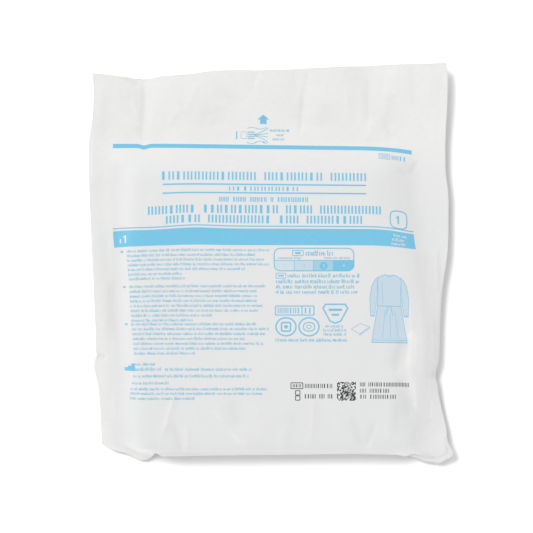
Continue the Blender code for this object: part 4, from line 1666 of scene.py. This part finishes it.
    def robe(self, pale: Plate, lines: Plate) -> None:
        """The plain sign of a long robe, as a pale form in a thin outline.

        Args:
            pale: The plate of the form.
            lines: The plate of the outline.
        """
        middle = self.robe_middle
        pale.panel([(y, middle + left, middle + right) for y, left, right in self.robe_body])
        each(lines.bar, [(middle - reach, middle + reach, y, height) for reach, y, height in self.robe_bars])
        lines.ribbon([(middle + x, y) for x, y in self.robe_neck], self.robe_collar)
        for x0, y0, x1, y1, width in self.robe_lines:
            lines.ribbon([(middle + x0, y0), (middle + x1, y1)], width)
        for side in (-1.0, 1.0):
            lines.ribbon([(middle + side * right, y) for y, _, right in self.robe_body], self.robe_outline)
            sections = [(y, middle + side * near, middle + side * far) for y, near, far in self.robe_sleeve]
            pale.panel(sections)
            lines.ribbon([(far, y) for y, _, far in sections], self.robe_outline)
            lines.ribbon([(near, y) for y, near, _ in sections[1:]], self.robe_inner_line)
            cuff_y, near, far = sections[-1]
            lines.ribbon([(near, cuff_y), (far, cuff_y)], self.robe_cuff)

    def signs(self) -> Plate:
        """The plain boxes, rings and other signs below the heading."""
        plate = self.plate("print_signs", Ink.BLUE)
        each(plate.rounded_box, self.sign_boxes)
        each(plate.bar, self.sign_bars)
        each(plate.block, self.sign_blocks)
        each(plate.ring, self.sign_rings)
        plate.disc(*self.ring_dot)
        plate.one(*self.size_one)
        plate.ribbon(self.shield, self.shield_line, closed=True)
        plate.ribbon(self.box_lid, self.box_line, closed=True)
        plate.ribbon(self.box_front, self.box_line)
        each(plate.large_marks, self.sign_lines, random.Random(self.seed + 3))
        return plate

    def open_marks(self) -> Plate:
        """Marks left open on the blue grounds."""
        plate = self.plate("print_open_marks", Ink.OPEN, self.open_lift)
        plate.one(*self.band_one)
        plate.block(*self.band_dash)
        each(plate.small_marks, self.open_lines, random.Random(self.seed + 4))
        each(plate.digits, self.open_numbers)
        return plate

    def overprint(self) -> Plate:
        """The black marks: lines of strokes, three small boxes, and a square of cells that encodes nothing."""
        plate, rng = self.plate("print_overprint", Ink.BLACK), random.Random(self.seed + 1)
        each(plate.rounded_box, self.overprint_boxes)
        each(plate.large_marks, self.overprint_lines, rng)
        step = self.code_size / self.code_cells
        for i in range(self.code_cells):
            for j in range(self.code_cells):
                if rng.random() < self.code_fill:
                    x, y = self.code_corner[0] + step * j, self.code_corner[1] + step * i
                    plate.block(x, y, x + step, y + step)
        return plate

    def build(self) -> list[bpy.types.Object]:
        """Returns every printed piece."""
        finishes = {ink: InkFinish(ink).build() for ink in Ink}
        plates = (
            self.rules(),
            self.headings(),
            self.small_print(),
            self.peel_signs(),
            *self.level_scale(),
            self.signs(),
            self.open_marks(),
            self.overprint(),
        )
        return [plate.lay(finishes[plate.ink]) for plate in plates]


# --------------------------------------------------------------------------------------------------------------------
# Stage
# --------------------------------------------------------------------------------------------------------------------


@dataclass(frozen=True)
class Studio:
    """A pale floor, soft light from the upper left, and a camera straight above."""

    camera_at: Place = (-3.8 * MM, -1.56 * MM, 1.2141)
    lens: float = 100.0
    sensor: float = 36.0
    sky: float = 1.085
    sky_slant: float = 0.08
    sky_colour: Colour = (1.0, 1.0, 1.0, 1.0)
    bright_side: Place = (-0.60, 0.80, 0.0)
    key_at: Place = (-1.1, 0.95, 0.9)
    key_power: float = 2.2
    key_size: float = 0.6
    floor_lamp_at: Place = (-0.94, 0.80, 1.66)
    floor_lamp_power: float = 56.0
    floor_lamp_size: float = 0.9
    floor_size: float = 8.0
    floor_at: Place = (0.0, 0.0, -0.3 * MM)
    floor_colour: Colour = (0.65, 0.65, 0.65, 1.0)
    floor_cloud: Colour = (0.67, 0.67, 0.67, 1.0)
    floor_roughness: float = 0.95
    floor_grain: Grain = (3.0, 1.0, (1.0, 1.0))

    def floor(self) -> bpy.types.Object:
        """Returns the floor."""
        bpy.ops.object.select_all(action="DESELECT")
        bpy.ops.mesh.primitive_plane_add(size=self.floor_size, location=self.floor_at)
        obj = bpy.context.object
        obj.name = "floor"
        bench = NodeBench.material("floor_paper")
        colour = bench.blend(bench.grain(*self.floor_grain), self.floor_colour, self.floor_cloud)
        bench.set(Base_Color=colour, Roughness=self.floor_roughness)
        obj.data.materials.append(bench.owner)
        return obj

    def light(self, floor: bpy.types.Object) -> None:
        """Sets an even sky, a weak key light, and a lamp that whitens the floor alone.

        Args:
            floor: The floor.
        """
        bench = NodeBench(bpy.data.worlds.new("studio"))
        towards = bench.node("ShaderNodeTexCoord", out="Generated")
        settings, sockets = {"operation": "DOT_PRODUCT"}, {0: towards, 1: self.bright_side}
        slant = bench.node("ShaderNodeVectorMath", settings, sockets, out="Value")
        bench.set(Strength=(1.0 + slant * self.sky_slant) * self.sky, Color=self.sky_colour)
        bpy.context.scene.world = bench.owner
        self.lamp("key", self.key_at, self.key_power, self.key_size)
        floor_only = bpy.data.collections.new("floor_light")
        floor_only.objects.link(floor)
        floor_lamp = self.lamp("floor_lamp", self.floor_lamp_at, self.floor_lamp_power, self.floor_lamp_size)
        floor_lamp.light_linking.receiver_collection = floor_only

    def lamp(self, name: str, place: Place, power: float, size: float) -> bpy.types.Object:
        """Hangs a square soft lamp that looks at the pouch.

        Args:
            name: The lamp's name.
            place: Where it hangs.
            power: Its power in watts.
            size: Its side in metres.

        Returns:
            The lamp.
        """
        data = bpy.data.lights.new(name, "AREA")
        data.energy, data.size = power, size
        obj = bpy.data.objects.new(name, data)
        obj.location = place
        obj.rotation_euler = (-Vector(place)).to_track_quat("-Z", "Y").to_euler()
        bpy.context.scene.collection.objects.link(obj)
        return obj

    def camera(self) -> None:
        """Hangs the camera over the pouch."""
        lens = bpy.data.cameras.new("overhead")
        lens.lens, lens.sensor_width = self.lens, self.sensor
        obj = bpy.data.objects.new("overhead", lens)
        obj.location = self.camera_at
        bpy.context.scene.collection.objects.link(obj)
        bpy.context.scene.camera = obj

    def build(self) -> None:
        """Sets the stage."""
        self.camera()
        self.light(self.floor())
        bpy.context.scene.view_settings.view_transform = "Standard"


def report(obj: bpy.types.Object) -> None:
    """Logs a finished piece."""
    LOG.info("%s: %d faces", obj.name, len(obj.data.polygons))


def main() -> None:
    """Builds the pouch and its stage, piece by piece."""
    logging.basicConfig(level=logging.INFO, format="%(name)s: %(message)s")
    Studio().build()

    front = FrontWeb().build()
    Workbench.finish(front, FilmFinish("white_film").build(), "front_film")
    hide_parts("front_web")
    report(front)

    back = BackWeb().build()
    Workbench.finish(back, FilmFinish("plain_film").build(), "back_film")
    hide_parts("back_web")
    report(back)

    stack = GownStack().build()
    Workbench.finish(stack, GownFinish().build(), "gown_cloth")
    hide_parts("folded_gown")
    report(stack)

    for piece in FrontPrint(front).build():
        report(piece)


if __name__ == "__main__":
    main()
